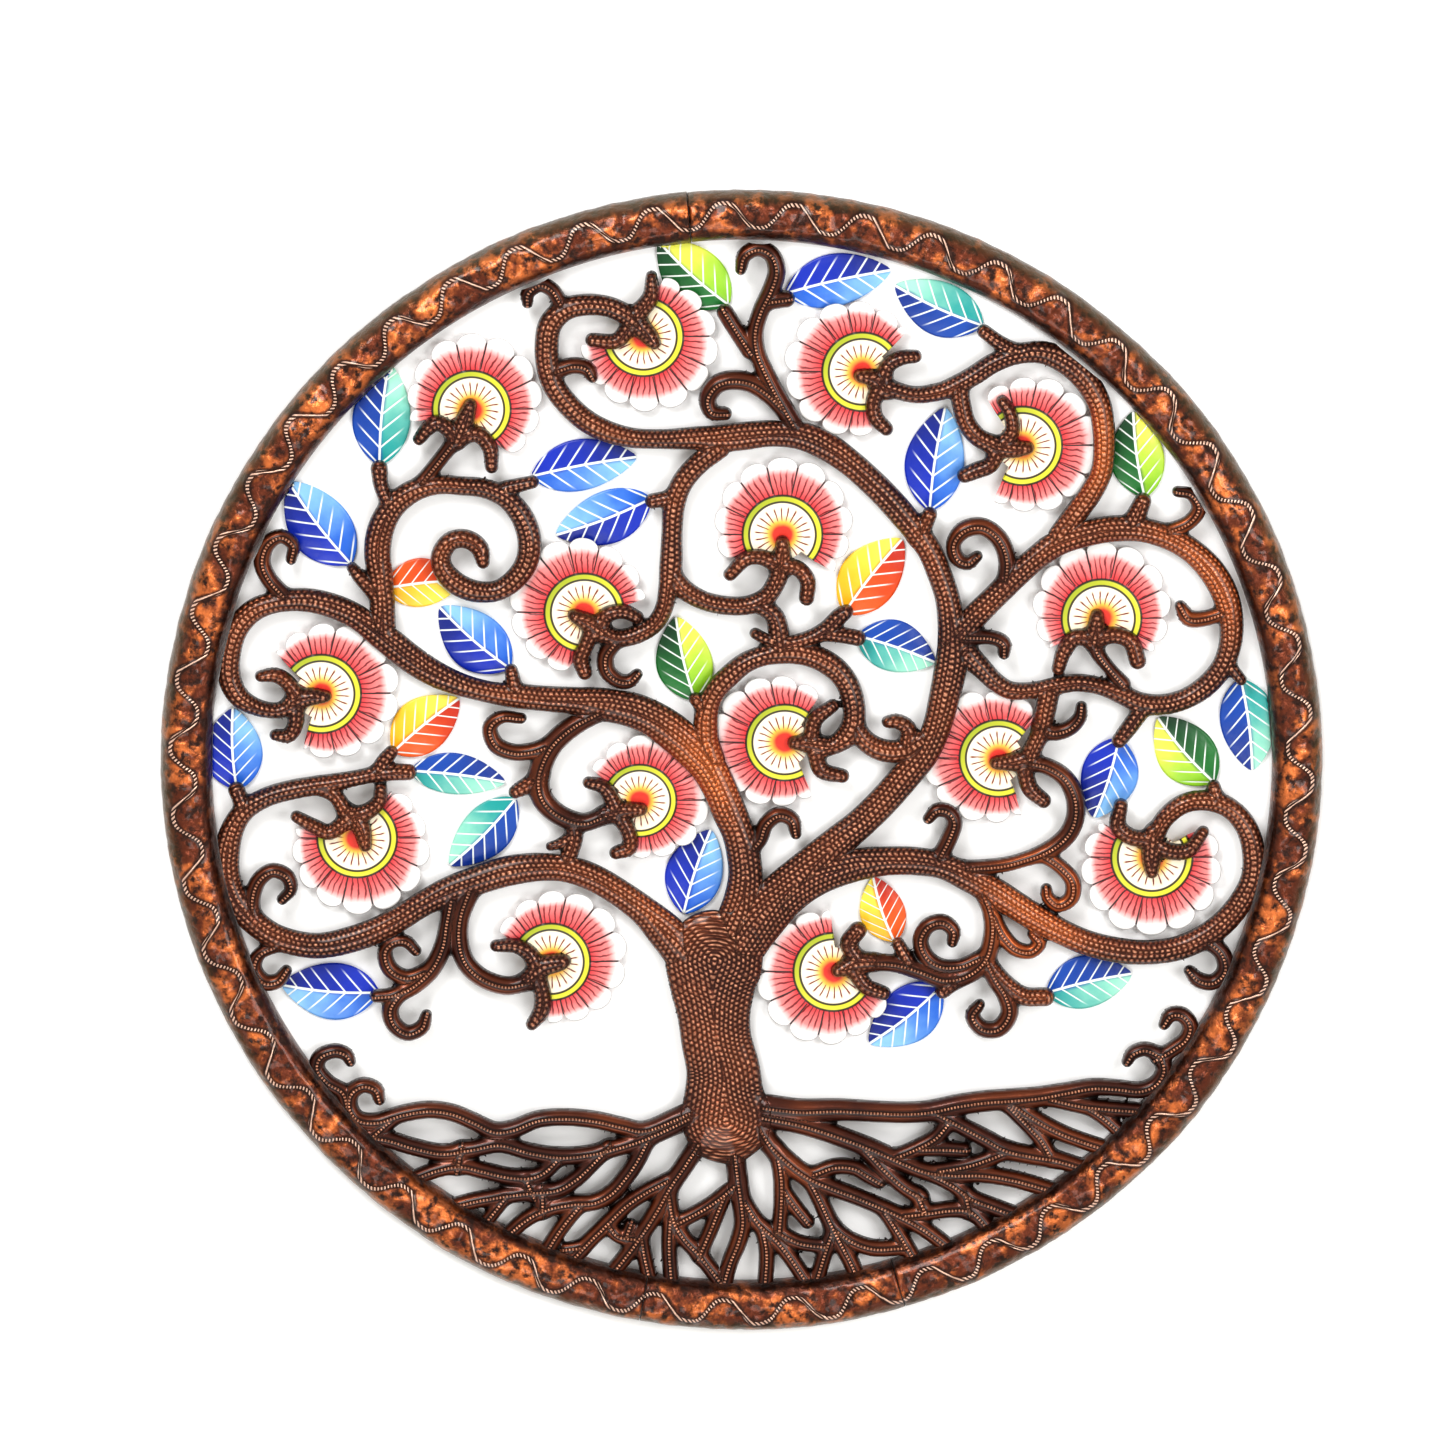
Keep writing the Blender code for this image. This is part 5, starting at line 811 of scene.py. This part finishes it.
def makeRimPiece(node, start, end, material):
    spec = hammeredRim
    outer, half = plaque["outerRadius"], spec["width"] / 2.0
    gap = math.degrees(spec["seamGap"] / 2.0 / outer)
    turn = end - start - 2.0 * gap
    steps = round(spec["stepsFullTurn"] * turn / 360.0)
    work = bmesh.new()
    verts = []
    for index in range(spec["profilePoints"] + 1):
        angle = math.pi * index / spec["profilePoints"]
        verts.append(work.verts.new((outer - half + half * math.cos(angle), 0.0,
                                     spec["height"] * max(math.sin(angle), 0.0) ** 0.8)))
    edges = [work.edges.new((a, b)) for a, b in zip(verts, verts[1:])]
    bmesh.ops.spin(work, geom=verts + edges, cent=(0, 0, 0), axis=(0, 0, 1), dvec=(0, 0, 0),
                   angle=math.radians(turn), steps=steps, use_merge=False, use_duplicate=False)
    mesh = bpy.data.meshes.new(node + "Steel")
    work.to_mesh(mesh)
    work.free()
    places = readPlaces(mesh)
    radius = np.hypot(places[:, 0], places[:, 1])
    angle = np.degrees(np.arctan2(places[:, 1], places[:, 0])) % 360.0 + start + gap
    height = places[:, 2]
    along = np.radians(angle) * outer
    across = outer - radius
    # Hammer blows: lumps on the outer two thirds, a smoother band along the inside.
    lumps = np.array([noise.noise(Vector((a / spec["lumpSize"], c / spec["lumpSize"], 3.7)))
                      + 0.5 * noise.noise(Vector((a / 3.6, c / 3.6, 9.1))) for a, c in zip(along, across)])
    band = np.clip((spec["width"] - spec["smoothBand"] - across) / 3.0 + 0.25, 0.15, 1.0)
    waver = np.array([noise.noise(Vector((a / 70.0, 0.3, 5.5))) for a in along])
    high = height / spec["height"]
    height = height * (1.0 + 0.03 * (waver - 1.0)) + spec["lump"] * (lumps - 0.35) * band * high
    push = 0.7 * waver + 0.4 * lumps * band
    radius = radius + np.where(across < 13.0, push, -push * 0.4) * (1.0 - 0.5 * high)
    radius = np.minimum(radius, outer + 0.5)
    height = np.clip(height, 0.0, spec["height"])
    turned = np.radians(angle)
    writePlaces(mesh, np.column_stack([radius * np.cos(turned), plaque["wallPlane"] - height,
                                       radius * np.sin(turned)]) * mm)
    setAttribute(mesh, "along", along)
    setAttribute(mesh, "across", across)
    setAttribute(mesh, "lump", lumps)
    faceFront(mesh)
    name = "rim" + node.split("_")[1].title() + "Steel"
    return finishPiece(name, mesh, material, [node], plaque["sheet"])


# Semi-gloss enamel brushed on thin steel: red at the heart, a yellow ring, and white
# petals that blush pink towards their feet under dry dark-red strokes.
petalEnamel = {
    "heart": "#dc3424", "gold": "#f7c04a", "cream": "#fff2d6", "ring": "#e3dc3a", "ringShade": "#a4b02c",
    "white": "#fdfbf9", "blush": "#ef8a88", "foot": "#d42a32", "stroke": "#6e0b15",
    "ray": "#7a1d10", "outline": "#1a0d0c",
    "roughness": 0.38,
}

flowerShape = {
    "radius": 36.0, "notch": 6.4, "ringInner": 17.2, "ringOuter": 20.6, "ringShift": 5.0,
    "ringRise": 0.55, "ringSpread": 1.5, "petals": 14,
    "stepsPerPetal": 12, "rows": 30, "openAngle": 108.0, "openRadius": 13.0, "rise": 2.4, "thickness": 0.9,
}


def makePetalEnamel(name, spec):
    made, tree = newMaterial(name)
    flat = addNode(tree, "Attribute", {"attribute_name": "flat"}).node.outputs["Vector"]
    lobe = addNode(tree, "Attribute", {"attribute_name": "lobe"}).node.outputs["Fac"]
    radius = addNode(tree, "Attribute", {"attribute_name": "radius"}).node.outputs["Fac"]
    fringe = addNode(tree, "Attribute", {"attribute_name": "fringe"}).node.outputs["Fac"]
    place = addNode(tree, "TexCoord").node.outputs["Object"]
    parts = addNode(tree, "SeparateXYZ", None, {0: flat}).node
    turn = addNode(tree, "Math", {"operation": "ARCTAN2"}, {0: parts.outputs[1], 1: parts.outputs[0]})
    wander = addNode(tree, "TexNoise", None, {"Vector": place, "Scale": 90.0, "Detail": 3.0})
    radiusNow = addNode(tree, "Math", {"operation": "MULTIPLY_ADD"}, {0: wander, 1: 2.4, 2: radius})

    # Petals: foot to tip.
    reach = addNode(tree, "Attribute", {"attribute_name": "reach"}).node.outputs["Fac"]
    reachNow = addNode(tree, "Math", {"operation": "MULTIPLY_ADD"}, {0: wander, 1: 0.2, 2: reach})
    petal = addNode(tree, "ValToRGB", None, {0: addNode(tree, "MapRange", None, {
        "Value": reachNow, "From Min": 0.1, "From Max": 1.1})}).node
    ramp = petal.color_ramp
    ramp.elements[0].color = toLinear(spec["foot"])
    ramp.elements[1].color = toLinear(spec["white"])
    ramp.elements[1].position = 0.78
    ramp.elements.new(0.52).color = toLinear(spec["blush"])
    fan = addNode(tree, "Math", {"operation": "MULTIPLY"}, {0: turn, 1: 2.0 * flowerShape["petals"]})
    fan = addNode(tree, "Math", {"operation": "MULTIPLY_ADD"}, {0: wander, 1: 5.0, 2: fan})
    fan = addNode(tree, "Math", {"operation": "SINE"}, {0: fan})
    fan = addNode(tree, "Math", {"operation": "ABSOLUTE"}, {0: fan})
    dry = addNode(tree, "MapRange", {"interpolation_type": "SMOOTHSTEP"},
                  {"Value": fan, "From Min": 0.24, "From Max": 0.58, "To Min": 1.0, "To Max": 0.0})
    fade = addNode(tree, "MapRange", {"interpolation_type": "SMOOTHSTEP"},
                   {"Value": reachNow, "From Min": 0.5, "From Max": 0.82, "To Min": 0.95, "To Max": 0.0})
    dry = addNode(tree, "Math", {"operation": "MULTIPLY"}, {0: dry, 1: fade})
    colour = addNode(tree, "Mix", {"data_type": "RGBA"},
                     {0: dry, 6: petal.outputs[0], 7: toLinear(spec["stroke"])}).node.outputs[2]
    # A thin dark outline runs between the petals and along their tips.
    between = addNode(tree, "MapRange", {"interpolation_type": "SMOOTHSTEP"},
                      {"Value": lobe, "From Min": 0.9, "From Max": 0.98})
    tip = addNode(tree, "MapRange", {"interpolation_type": "SMOOTHSTEP"},
                  {"Value": fringe, "From Min": 0.2, "From Max": 0.6, "To Min": 0.4, "To Max": 0.0})
    line = addNode(tree, "Math", {"operation": "MAXIMUM"}, {0: between, 1: tip})
    colour = addNode(tree, "Mix", {"data_type": "RGBA"},
                     {0: line, 6: colour, 7: toLinear(spec["outline"])}).node.outputs[2]

    # The domed centre inside the ring.
    disc = addNode(tree, "ValToRGB", None, {0: addNode(tree, "MapRange", None, {
        "Value": radiusNow, "From Min": 1.0, "From Max": 17.2})}).node
    ramp = disc.color_ramp
    ramp.elements[0].color = toLinear(spec["heart"])
    ramp.elements[1].color = toLinear(spec["cream"])
    ramp.elements[0].position = 0.3
    ramp.elements[1].position = 0.68
    ramp.elements.new(0.46).color = toLinear(spec["gold"])
    ray = addNode(tree, "Math", {"operation": "MULTIPLY"}, {0: turn, 1: 11.0})
    ray = addNode(tree, "Math", {"operation": "MULTIPLY_ADD"}, {0: wander, 1: 2.0, 2: ray})
    ray = addNode(tree, "Math", {"operation": "SINE"}, {0: ray})
    ray = addNode(tree, "Math", {"operation": "ABSOLUTE"}, {0: ray})
    ray = addNode(tree, "MapRange", {"interpolation_type": "SMOOTHSTEP"},
                  {"Value": ray, "From Min": 0.2, "From Max": 0.45, "To Min": 1.0, "To Max": 0.0})
    reachIn = addNode(tree, "MapRange", {"interpolation_type": "SMOOTHSTEP"},
                      {"Value": radius, "From Min": 6.5, "From Max": 8.5})
    reachOut = addNode(tree, "MapRange", {"interpolation_type": "SMOOTHSTEP"},
                       {"Value": radiusNow, "From Min": 14.5, "From Max": 16.5, "To Min": 1.0, "To Max": 0.0})
    ray = addNode(tree, "Math", {"operation": "MULTIPLY"}, {0: ray, 1: reachIn})
    ray = addNode(tree, "Math", {"operation": "MULTIPLY"}, {0: ray, 1: reachOut})
    inner = addNode(tree, "Mix", {"data_type": "RGBA"},
                    {0: ray, 6: disc.outputs[0], 7: toLinear(spec["ray"])}).node.outputs[2]
    # The ring, greener to the upper left as painted shade, with a dark line on both sides.
    lean = addNode(tree, "Math", {"operation": "SUBTRACT"}, {0: parts.outputs[1], 1: parts.outputs[0]})
    lean = addNode(tree, "MapRange", None, {"Value": lean, "From Min": -8.0, "From Max": 30.0})
    ring = addNode(tree, "Mix", {"data_type": "RGBA"},
                   {0: lean, 6: toLinear(spec["ring"]), 7: toLinear(spec["ringShade"])}).node.outputs[2]
    isRing = addNode(tree, "Math", {"operation": "GREATER_THAN"}, {0: radius, 1: flowerShape["ringInner"]})
    inner = addNode(tree, "Mix", {"data_type": "RGBA"}, {0: isRing, 6: inner, 7: ring}).node.outputs[2]
    isPetal = addNode(tree, "Math", {"operation": "GREATER_THAN"}, {0: radius, 1: flowerShape["ringOuter"]})
    colour = addNode(tree, "Mix", {"data_type": "RGBA"}, {0: isPetal, 6: inner, 7: colour}).node.outputs[2]
    for edge in ("ringInner", "ringOuter"):
        off = addNode(tree, "Math", {"operation": "SUBTRACT"}, {0: radius, 1: flowerShape[edge]})
        off = addNode(tree, "Math", {"operation": "ABSOLUTE"}, {0: off})
        off = addNode(tree, "MapRange", {"interpolation_type": "SMOOTHSTEP"},
                      {"Value": off, "From Min": 0.35, "From Max": 0.8, "To Min": 0.95, "To Max": 0.0})
        colour = addNode(tree, "Mix", {"data_type": "RGBA"},
                         {0: off, 6: colour, 7: toLinear(spec["outline"])}).node.outputs[2]

    dots = addNode(tree, "TexVoronoi", None, {"Vector": place, "Scale": 620.0})
    brush = addNode(tree, "TexNoise", None, {"Vector": place, "Scale": 260.0, "Detail": 4.0})
    height = addNode(tree, "Math", {"operation": "MULTIPLY_ADD"}, {0: dots, 1: 0.35, 2: brush})
    bump = addNode(tree, "Bump", None, {"Strength": 0.6, "Distance": 0.25 * mm, "Height": height})
    wear = addNode(tree, "MapRange", None, {"Value": brush, "To Min": spec["roughness"] - 0.08,
                                            "To Max": spec["roughness"] + 0.1})
    shader = addNode(tree, "BsdfPrincipled", None,
                     {"Base Color": colour, "Roughness": wear, "IOR": 1.5, "Normal": bump})
    closeMaterial(tree, shader)
    return made


def makeFlower(node, place, material):
    spec = flowerShape
    acrossAt, upAt, openTo, size = place
    steps = spec["petals"] * spec["stepsPerPetal"]
    work = bmesh.new()
    verts = [work.verts.new((spec["radius"] * i / spec["rows"], 0.0, 0.0)) for i in range(spec["rows"] + 1)]
    edges = [work.edges.new((a, b)) for a, b in zip(verts, verts[1:])]
    bmesh.ops.spin(work, geom=verts + edges, cent=(0, 0, 0), axis=(0, 0, 1), dvec=(0, 0, 0),
                   angle=math.tau, steps=steps, use_merge=True, use_duplicate=False)
    bmesh.ops.remove_doubles(work, verts=work.verts, dist=0.001)
    mesh = bpy.data.meshes.new(node + "Enamel")
    work.to_mesh(mesh)
    work.free()
    flat = readPlaces(mesh)[:, :2]
    radius = np.hypot(flat[:, 0], flat[:, 1])
    turn = np.arctan2(flat[:, 1], flat[:, 0])
    lobe = np.abs(2.0 * ((turn / math.tau * spec["petals"]) % 1.0) - 1.0)
    which = np.floor(turn / math.tau * spec["petals"] + 1e-6)
    uneven = np.array([noise.noise(Vector((w * 1.7, place[0] * 0.1, place[1] * 0.1))) for w in which])
    # The ring sits nearer the calyx than the middle of the petals' own circle.
    toCalyx = np.array([math.cos(math.radians(openTo)), math.sin(math.radians(openTo))])
    aim = -(np.cos(turn) * toCalyx[0] + np.sin(turn) * toCalyx[1]) * spec["ringShift"]
    full = aim + np.sqrt(aim ** 2 - spec["ringShift"] ** 2 + spec["radius"] ** 2)
    edge = full - spec["notch"] * (1.0 - np.sqrt(np.clip(1.0 - 0.97 * lobe ** 2, 0.0, 1.0)))
    edge = edge - 0.8 * np.clip(uneven + 0.3, 0.0, 1.0) * (1.0 - lobe)
    away = np.abs((np.degrees(turn) - openTo + 180.0) % 360.0 - 180.0)
    opened = np.clip((away - spec["openAngle"] / 2.0) / 4.0, 0.0, 1.0)
    edge = spec["openRadius"] + (edge - spec["openRadius"]) * opened
    # Rows stay round inside the ring and follow the petals beyond it.
    innerRows = round(spec["rows"] * 0.55)
    row = radius / spec["radius"] * spec["rows"]
    start = np.minimum(spec["ringOuter"], edge * 0.9)
    outShare = np.clip((row - innerRows) / (spec["rows"] - innerRows), 0.0, 1.0)
    isOut = row > innerRows + 0.01
    radiusNew = np.where(isOut, start + (edge - start) * outShare, start * row / innerRows)
    petal = (isOut & (radiusNew > spec["ringOuter"])) * 1.0
    way = np.column_stack([np.cos(turn), np.sin(turn)])
    spots = (way * radiusNew[:, None] + toCalyx * spec["ringShift"]) * size
    rise = spec["rise"] * np.clip(1.0 - (radiusNew / 38.0) ** 2, 0.0, 1.0)
    ringMiddle = (spec["ringInner"] + spec["ringOuter"]) / 2.0
    ringBump = spec["ringRise"] * np.exp(-((radiusNew - ringMiddle) / spec["ringSpread"]) ** 2)
    petalBulge = petal * 0.9 * (1.0 - lobe ** 2) * np.sin(math.pi * outShare * 0.8)
    groove = petal * -0.6 * np.clip((lobe - 0.75) / 0.25, 0.0, 1.0)
    height = np.maximum(rise + ringBump + petalBulge + groove, 0.0)
    front = plaque["wallPlane"] - plaque["flowerBack"] - spec["thickness"] - np.minimum(height, 2.9)
    writePlaces(mesh, np.column_stack([spots[:, 0] + acrossAt, front, spots[:, 1] + upAt]) * mm)
    flatPlace = np.column_stack([way * radiusNew[:, None], np.zeros(len(way))])
    setAttribute(mesh, "flat", flatPlace, "FLOAT_VECTOR")
    setAttribute(mesh, "radius", radiusNew)
    petalShare = (radiusNew - spec["ringOuter"]) / (full - spec["ringOuter"])
    setAttribute(mesh, "reach", np.clip(petalShare, 0.0, 1.0))
    setAttribute(mesh, "lobe", petal * lobe)
    setAttribute(mesh, "fringe", np.where(petal > 0.5, edge - radiusNew, 9.0))
    faceFront(mesh)
    return finishPiece("flower" + node[-2:] + "Enamel", mesh, material, [node],
                       spec["thickness"])


# The same enamel on the leaves: a dark half and a light half brushed into each other,
# with the midrib and side veins left as thin white lines.
leafEnamel = {
    "vein": "#f7fbf7", "roughness": 0.36,
    "pairs": {
        "blue": ["#0a2fb4", "#071f7c", "#1c63cc", "#8fc6f2"],
        "teal": ["#0a4aa8", "#0a2f86", "#149c98", "#a6e6cc"],
        "green": ["#14702a", "#0a4020", "#8fc92a", "#f0ee5e"],
        "orange": ["#ea5f16", "#bb2208", "#f9b516", "#fdea5a"],
    },
}

# Each leaf: paint, and which side of the midrib (base to tip) is dark, left 1 or right -1.
leafPaints = {
    1: ("teal", 1), 2: ("green", 1), 3: ("blue", 1), 4: ("teal", 1), 5: ("blue", 1), 6: ("blue", 1),
    7: ("blue", 1), 8: ("blue", 1), 9: ("green", 1), 10: ("orange", 1), 11: ("blue", 1), 12: ("green", 1),
    13: ("orange", -1), 14: ("teal", 1), 15: ("blue", 1), 16: ("orange", -1), 17: ("teal", 1),
    18: ("teal", 1), 19: ("blue", 1), 20: ("teal", -1), 21: ("green", -1), 22: ("blue", -1),
    23: ("orange", -1), 24: ("blue", -1), 25: ("blue", -1), 26: ("teal", 1),
}

leafShape = {"width": 30.0, "rise": 1.6, "alongCells": 44, "acrossCells": 22, "veins": 6.0, "thickness": 0.9}


def makeLeafEnamel(name, spec, pair):
    made, tree = newMaterial(name)
    blade = addNode(tree, "Attribute", {"attribute_name": "blade"}).node.outputs["Vector"]
    place = addNode(tree, "TexCoord").node.outputs["Object"]
    parts = addNode(tree, "SeparateXYZ", None, {0: blade}).node
    share, side, tall = parts.outputs[0], parts.outputs[1], parts.outputs[2]   # 0..1, dark side +, mm
    wander = addNode(tree, "TexNoise", None, {"Vector": place, "Scale": 80.0, "Detail": 4.0})
    sway = addNode(tree, "Math", {"operation": "MULTIPLY_ADD"}, {0: wander, 1: 0.5, 2: share})
    fade = addNode(tree, "MapRange", {"interpolation_type": "SMOOTHSTEP"},
                   {"Value": sway, "From Min": 0.35, "From Max": 1.25})
    dark = addNode(tree, "Mix", {"data_type": "RGBA"},
                   {0: fade, 6: toLinear(pair[0]), 7: toLinear(pair[1])}).node.outputs[2]
    light = addNode(tree, "Mix", {"data_type": "RGBA"},
                    {0: fade, 6: toLinear(pair[2]), 7: toLinear(pair[3])}).node.outputs[2]
    soft = addNode(tree, "Math", {"operation": "SUBTRACT"}, {0: wander, 1: 0.5})
    soft = addNode(tree, "Math", {"operation": "MULTIPLY_ADD"}, {0: soft, 1: 3.0, 2: side})
    half = addNode(tree, "MapRange", {"interpolation_type": "SMOOTHSTEP"},
                   {"Value": soft, "From Min": -2.2, "From Max": 0.6})
    colour = addNode(tree, "Mix", {"data_type": "RGBA"}, {0: half, 6: light, 7: dark}).node.outputs[2]

    # Side veins sweep forward from the midrib; both kinds thin out towards the edge.
    reach = addNode(tree, "Math", {"operation": "ABSOLUTE"}, {0: side})
    slope = addNode(tree, "Math", {"operation": "DIVIDE"}, {0: reach, 1: tall})
    vein = addNode(tree, "Math", {"operation": "MULTIPLY_ADD"}, {0: slope, 1: -0.95, 2: share})
    vein = addNode(tree, "Math", {"operation": "MULTIPLY"}, {0: vein, 1: leafShape["veins"]})
    vein = addNode(tree, "Math", {"operation": "PINGPONG"}, {0: vein, 1: 0.5})
    veinLine = addNode(tree, "MapRange", {"interpolation_type": "SMOOTHSTEP"},
                       {"Value": vein, "From Min": 0.035, "From Max": 0.1, "To Min": 1.0, "To Max": 0.0})
    thin = addNode(tree, "MapRange", {"interpolation_type": "SMOOTHSTEP"},
                   {"Value": reach, "From Min": 7.0, "From Max": 13.0, "To Min": 0.9, "To Max": 0.0})
    veinLine = addNode(tree, "Math", {"operation": "MULTIPLY"}, {0: veinLine, 1: thin})
    rib = addNode(tree, "MapRange", {"interpolation_type": "SMOOTHSTEP"},
                  {"Value": reach, "From Min": 0.35, "From Max": 0.85, "To Min": 1.0, "To Max": 0.0})
    lines = addNode(tree, "Math", {"operation": "MAXIMUM"}, {0: veinLine, 1: rib})
    colour = addNode(tree, "Mix", {"data_type": "RGBA"},
                     {0: lines, 6: colour, 7: toLinear(spec["vein"])}).node.outputs[2]
    brush = addNode(tree, "TexNoise", None, {"Vector": place, "Scale": 300.0, "Detail": 4.0})
    height = addNode(tree, "Math", {"operation": "MULTIPLY_ADD"}, {0: lines, 1: -1.2, 2: brush})
    bump = addNode(tree, "Bump", None, {"Strength": 0.7, "Distance": 0.3 * mm, "Height": height})
    wear = addNode(tree, "MapRange", None, {"Value": brush, "To Min": spec["roughness"] - 0.08,
                                            "To Max": spec["roughness"] + 0.1})
    shader = addNode(tree, "BsdfPrincipled", None,
                     {"Base Color": colour, "Roughness": wear, "IOR": 1.5, "Normal": bump})
    closeMaterial(tree, shader)
    return made


def makeLeaf(node, place, material, darkSide):
    spec = leafShape
    base, tip = np.array(place[:2], float), np.array(place[2:4], float)
    length = np.hypot(*(tip - base))
    forward = (tip - base) / length
    sideways = np.array([-forward[1], forward[0]])
    work = bmesh.new()
    bmesh.ops.create_grid(work, x_segments=spec["alongCells"], y_segments=spec["acrossCells"], size=1.0)
    mesh = bpy.data.meshes.new(node + "Enamel")
    work.to_mesh(mesh)
    work.free()
    places = readPlaces(mesh)
    share, lateral = (places[:, 0] + 1.0) / 2.0, places[:, 1]
    wide = np.sin(math.pi * np.clip(share, 0.0, 1.0) ** 0.86) ** 0.72
    wide = np.where(share < 0.06, np.maximum(wide, 0.12), wide)
    wide = np.where(share > 0.999, 0.0, wide)
    half = spec["width"] * place[4] / 2.0
    side = lateral * wide * half
    bow = 1.2 * np.sin(math.pi * share)      # hand-cut leaves bend a little
    spots = base + np.outer(share * length, forward) + np.outer(side + bow, sideways)
    radius = np.hypot(spots[:, 0], spots[:, 1])
    limit = plaque["innerRadius"] - 0.4
    spots *= np.minimum(1.0, limit / np.maximum(radius, 1e-6))[:, None]
    crown = (1.0 - lateral ** 2) * np.sin(math.pi * share)
    rib = 0.35 * np.exp(-(side / 1.1) ** 2)
    vein = np.abs((((share - np.abs(side) / length * 0.95) * spec["veins"]) % 1.0) - 0.5) * 2.0
    dent = -0.3 * np.exp(-((1.0 - vein) / 0.25) ** 2) * (1.0 - np.abs(lateral)) * (np.abs(side) > 1.0)
    front = plaque["wallPlane"] - plaque["leafBack"] - spec["thickness"] - np.maximum(
        spec["rise"] * crown - 0.25 + rib + dent, 0.0)
    front = np.maximum(front, plaque["wallPlane"] - 3.7)
    writePlaces(mesh, np.column_stack([spots[:, 0], front, spots[:, 1]]) * mm)
    setAttribute(mesh, "blade", np.column_stack([share, side * darkSide, np.full(len(side), length)]),
                 "FLOAT_VECTOR")
    faceFront(mesh, weld=0.01 * mm)
    return finishPiece("leaf" + node[-2:] + "Enamel", mesh, material, [node], spec["thickness"])


studio = {
    "wall": "#ffffff", "wallSize": 6.0, "lens": 1000.0, "elevation": 11.0,
    "target": (-9.9, 0.0, 21.5), "seenWidth": 746.5,
    "lights": [   # name, place in metres, size, watts
        ("softboxUpperLeft", (-0.8, -1.7, 1.5), 0.9, 27.0),
        ("softboxRight", (1.2, -1.8, 0.3), 0.9, 16.0),
        ("softboxLow", (-0.3, -1.9, -1.2), 0.9, 9.0),
    ],
    "world": "#fffdf8", "worldStrength": 0.6,
}


def makeWallPaint(name, spec):
    # Matt off-white wall paint. From behind it is clear, so the back of the plaque can be seen.
    made, tree = newMaterial(name)
    place = addNode(tree, "TexCoord").node.outputs["Object"]
    grain = addNode(tree, "TexNoise", None, {"Vector": place, "Scale": 60.0, "Detail": 3.0})
    bump = addNode(tree, "Bump", None, {"Strength": 0.1, "Distance": 0.05 * mm, "Height": grain})
    paint = addNode(tree, "BsdfPrincipled", None,
                    {"Base Color": toLinear(spec["wall"]), "Roughness": 0.9, "Normal": bump})
    clear = addNode(tree, "BsdfTransparent")
    back = addNode(tree, "NewGeometry").node.outputs["Backfacing"]
    closeMaterial(tree, addNode(tree, "MixShader", None, {0: back, 1: paint, 2: clear}))
    return made


def makeStage(spec):
    work = bmesh.new()
    bmesh.ops.create_grid(work, x_segments=2, y_segments=2, size=spec["wallSize"] / 2.0)
    bmesh.ops.transform(work, verts=work.verts, matrix=Matrix.Translation(
        (0, (plaque["wallPlane"] + 0.15) * mm, 0)) @ Matrix.Rotation(math.radians(90.0), 4, "X"))
    bmesh.ops.recalc_face_normals(work, faces=work.faces)
    if sum(f.normal.y for f in work.faces) > 0:
        bmesh.ops.reverse_faces(work, faces=work.faces)
    mesh = bpy.data.meshes.new("wall")
    work.to_mesh(mesh)
    work.free()
    mesh.materials.append(makeWallPaint("matt wall paint", spec))
    wall = bpy.data.objects.new("wall", mesh)
    bpy.context.scene.collection.objects.link(wall)

    for name, place, size, watts in spec["lights"]:
        data = bpy.data.lights.new(name, "AREA")
        data.size = size
        data.energy = watts
        lamp = bpy.data.objects.new(name, data)
        lamp.location = place
        lamp.rotation_euler = (-Vector(place)).to_track_quat("-Z", "Y").to_euler()
        bpy.context.scene.collection.objects.link(lamp)

    world = bpy.data.worlds.new("studio")
    bpy.context.scene.world = world
    world.use_nodes = True
    glow = world.node_tree.nodes["Background"]
    glow.inputs[0].default_value = toLinear(spec["world"])
    glow.inputs[1].default_value = spec["worldStrength"]

    lift = math.radians(spec["elevation"])
    away = spec["seenWidth"] * mm * spec["lens"] / 36.0
    data = bpy.data.cameras.new("camera")
    data.lens = spec["lens"]
    data.sensor_width = 36.0
    camera = bpy.data.objects.new("camera", data)
    target = Vector(spec["target"]) * mm
    camera.location = target + Vector((0.0, -math.cos(lift), math.sin(lift))) * away
    camera.rotation_euler = (target - camera.location).to_track_quat("-Z", "Y").to_euler()
    data.clip_end = 80.0
    bpy.context.scene.collection.objects.link(camera)
    bpy.context.scene.camera = camera
    bpy.context.scene.view_settings.view_transform = "Standard"
    bpy.context.scene.view_settings.look = "Medium High Contrast"


print("rim")
rimSteel = makeHammeredSteel("hammered drum steel, coppery lacquer", hammeredRim)
seamTop, seamLeft, seamRight = hammeredRim["seams"]
makeRimPiece("rim_left", seamTop, seamLeft, rimSteel)
makeRimPiece("rim_bottom", seamLeft, seamRight, rimSteel)
makeRimPiece("rim_right", seamRight, seamTop + 360.0, rimSteel)

print("tree")
treeSteel = makeEmbossedSteel("embossed sheet steel, red-brown lacquer", embossedSteel)
allStrands = gatherStrands()
for node in buildOrder:
    makeTreePiece(node, allStrands, treeSteel)

print("flowers")
petalPaint = makePetalEnamel("brushed enamel, petals", petalEnamel)
for node, place in flowerSpots.items():
    makeFlower(node, place, petalPaint)

print("leaves")
leafPaint = {key: makeLeafEnamel("brushed enamel, " + key + " leaves", leafEnamel, pair)
             for key, pair in leafEnamel["pairs"].items()}
for node, place in leafSpots.items():
    paint, darkSide = leafPaints[int(node[-2:])]
    makeLeaf(node, place, leafPaint[paint], darkSide)

print("stage")
makeStage(studio)
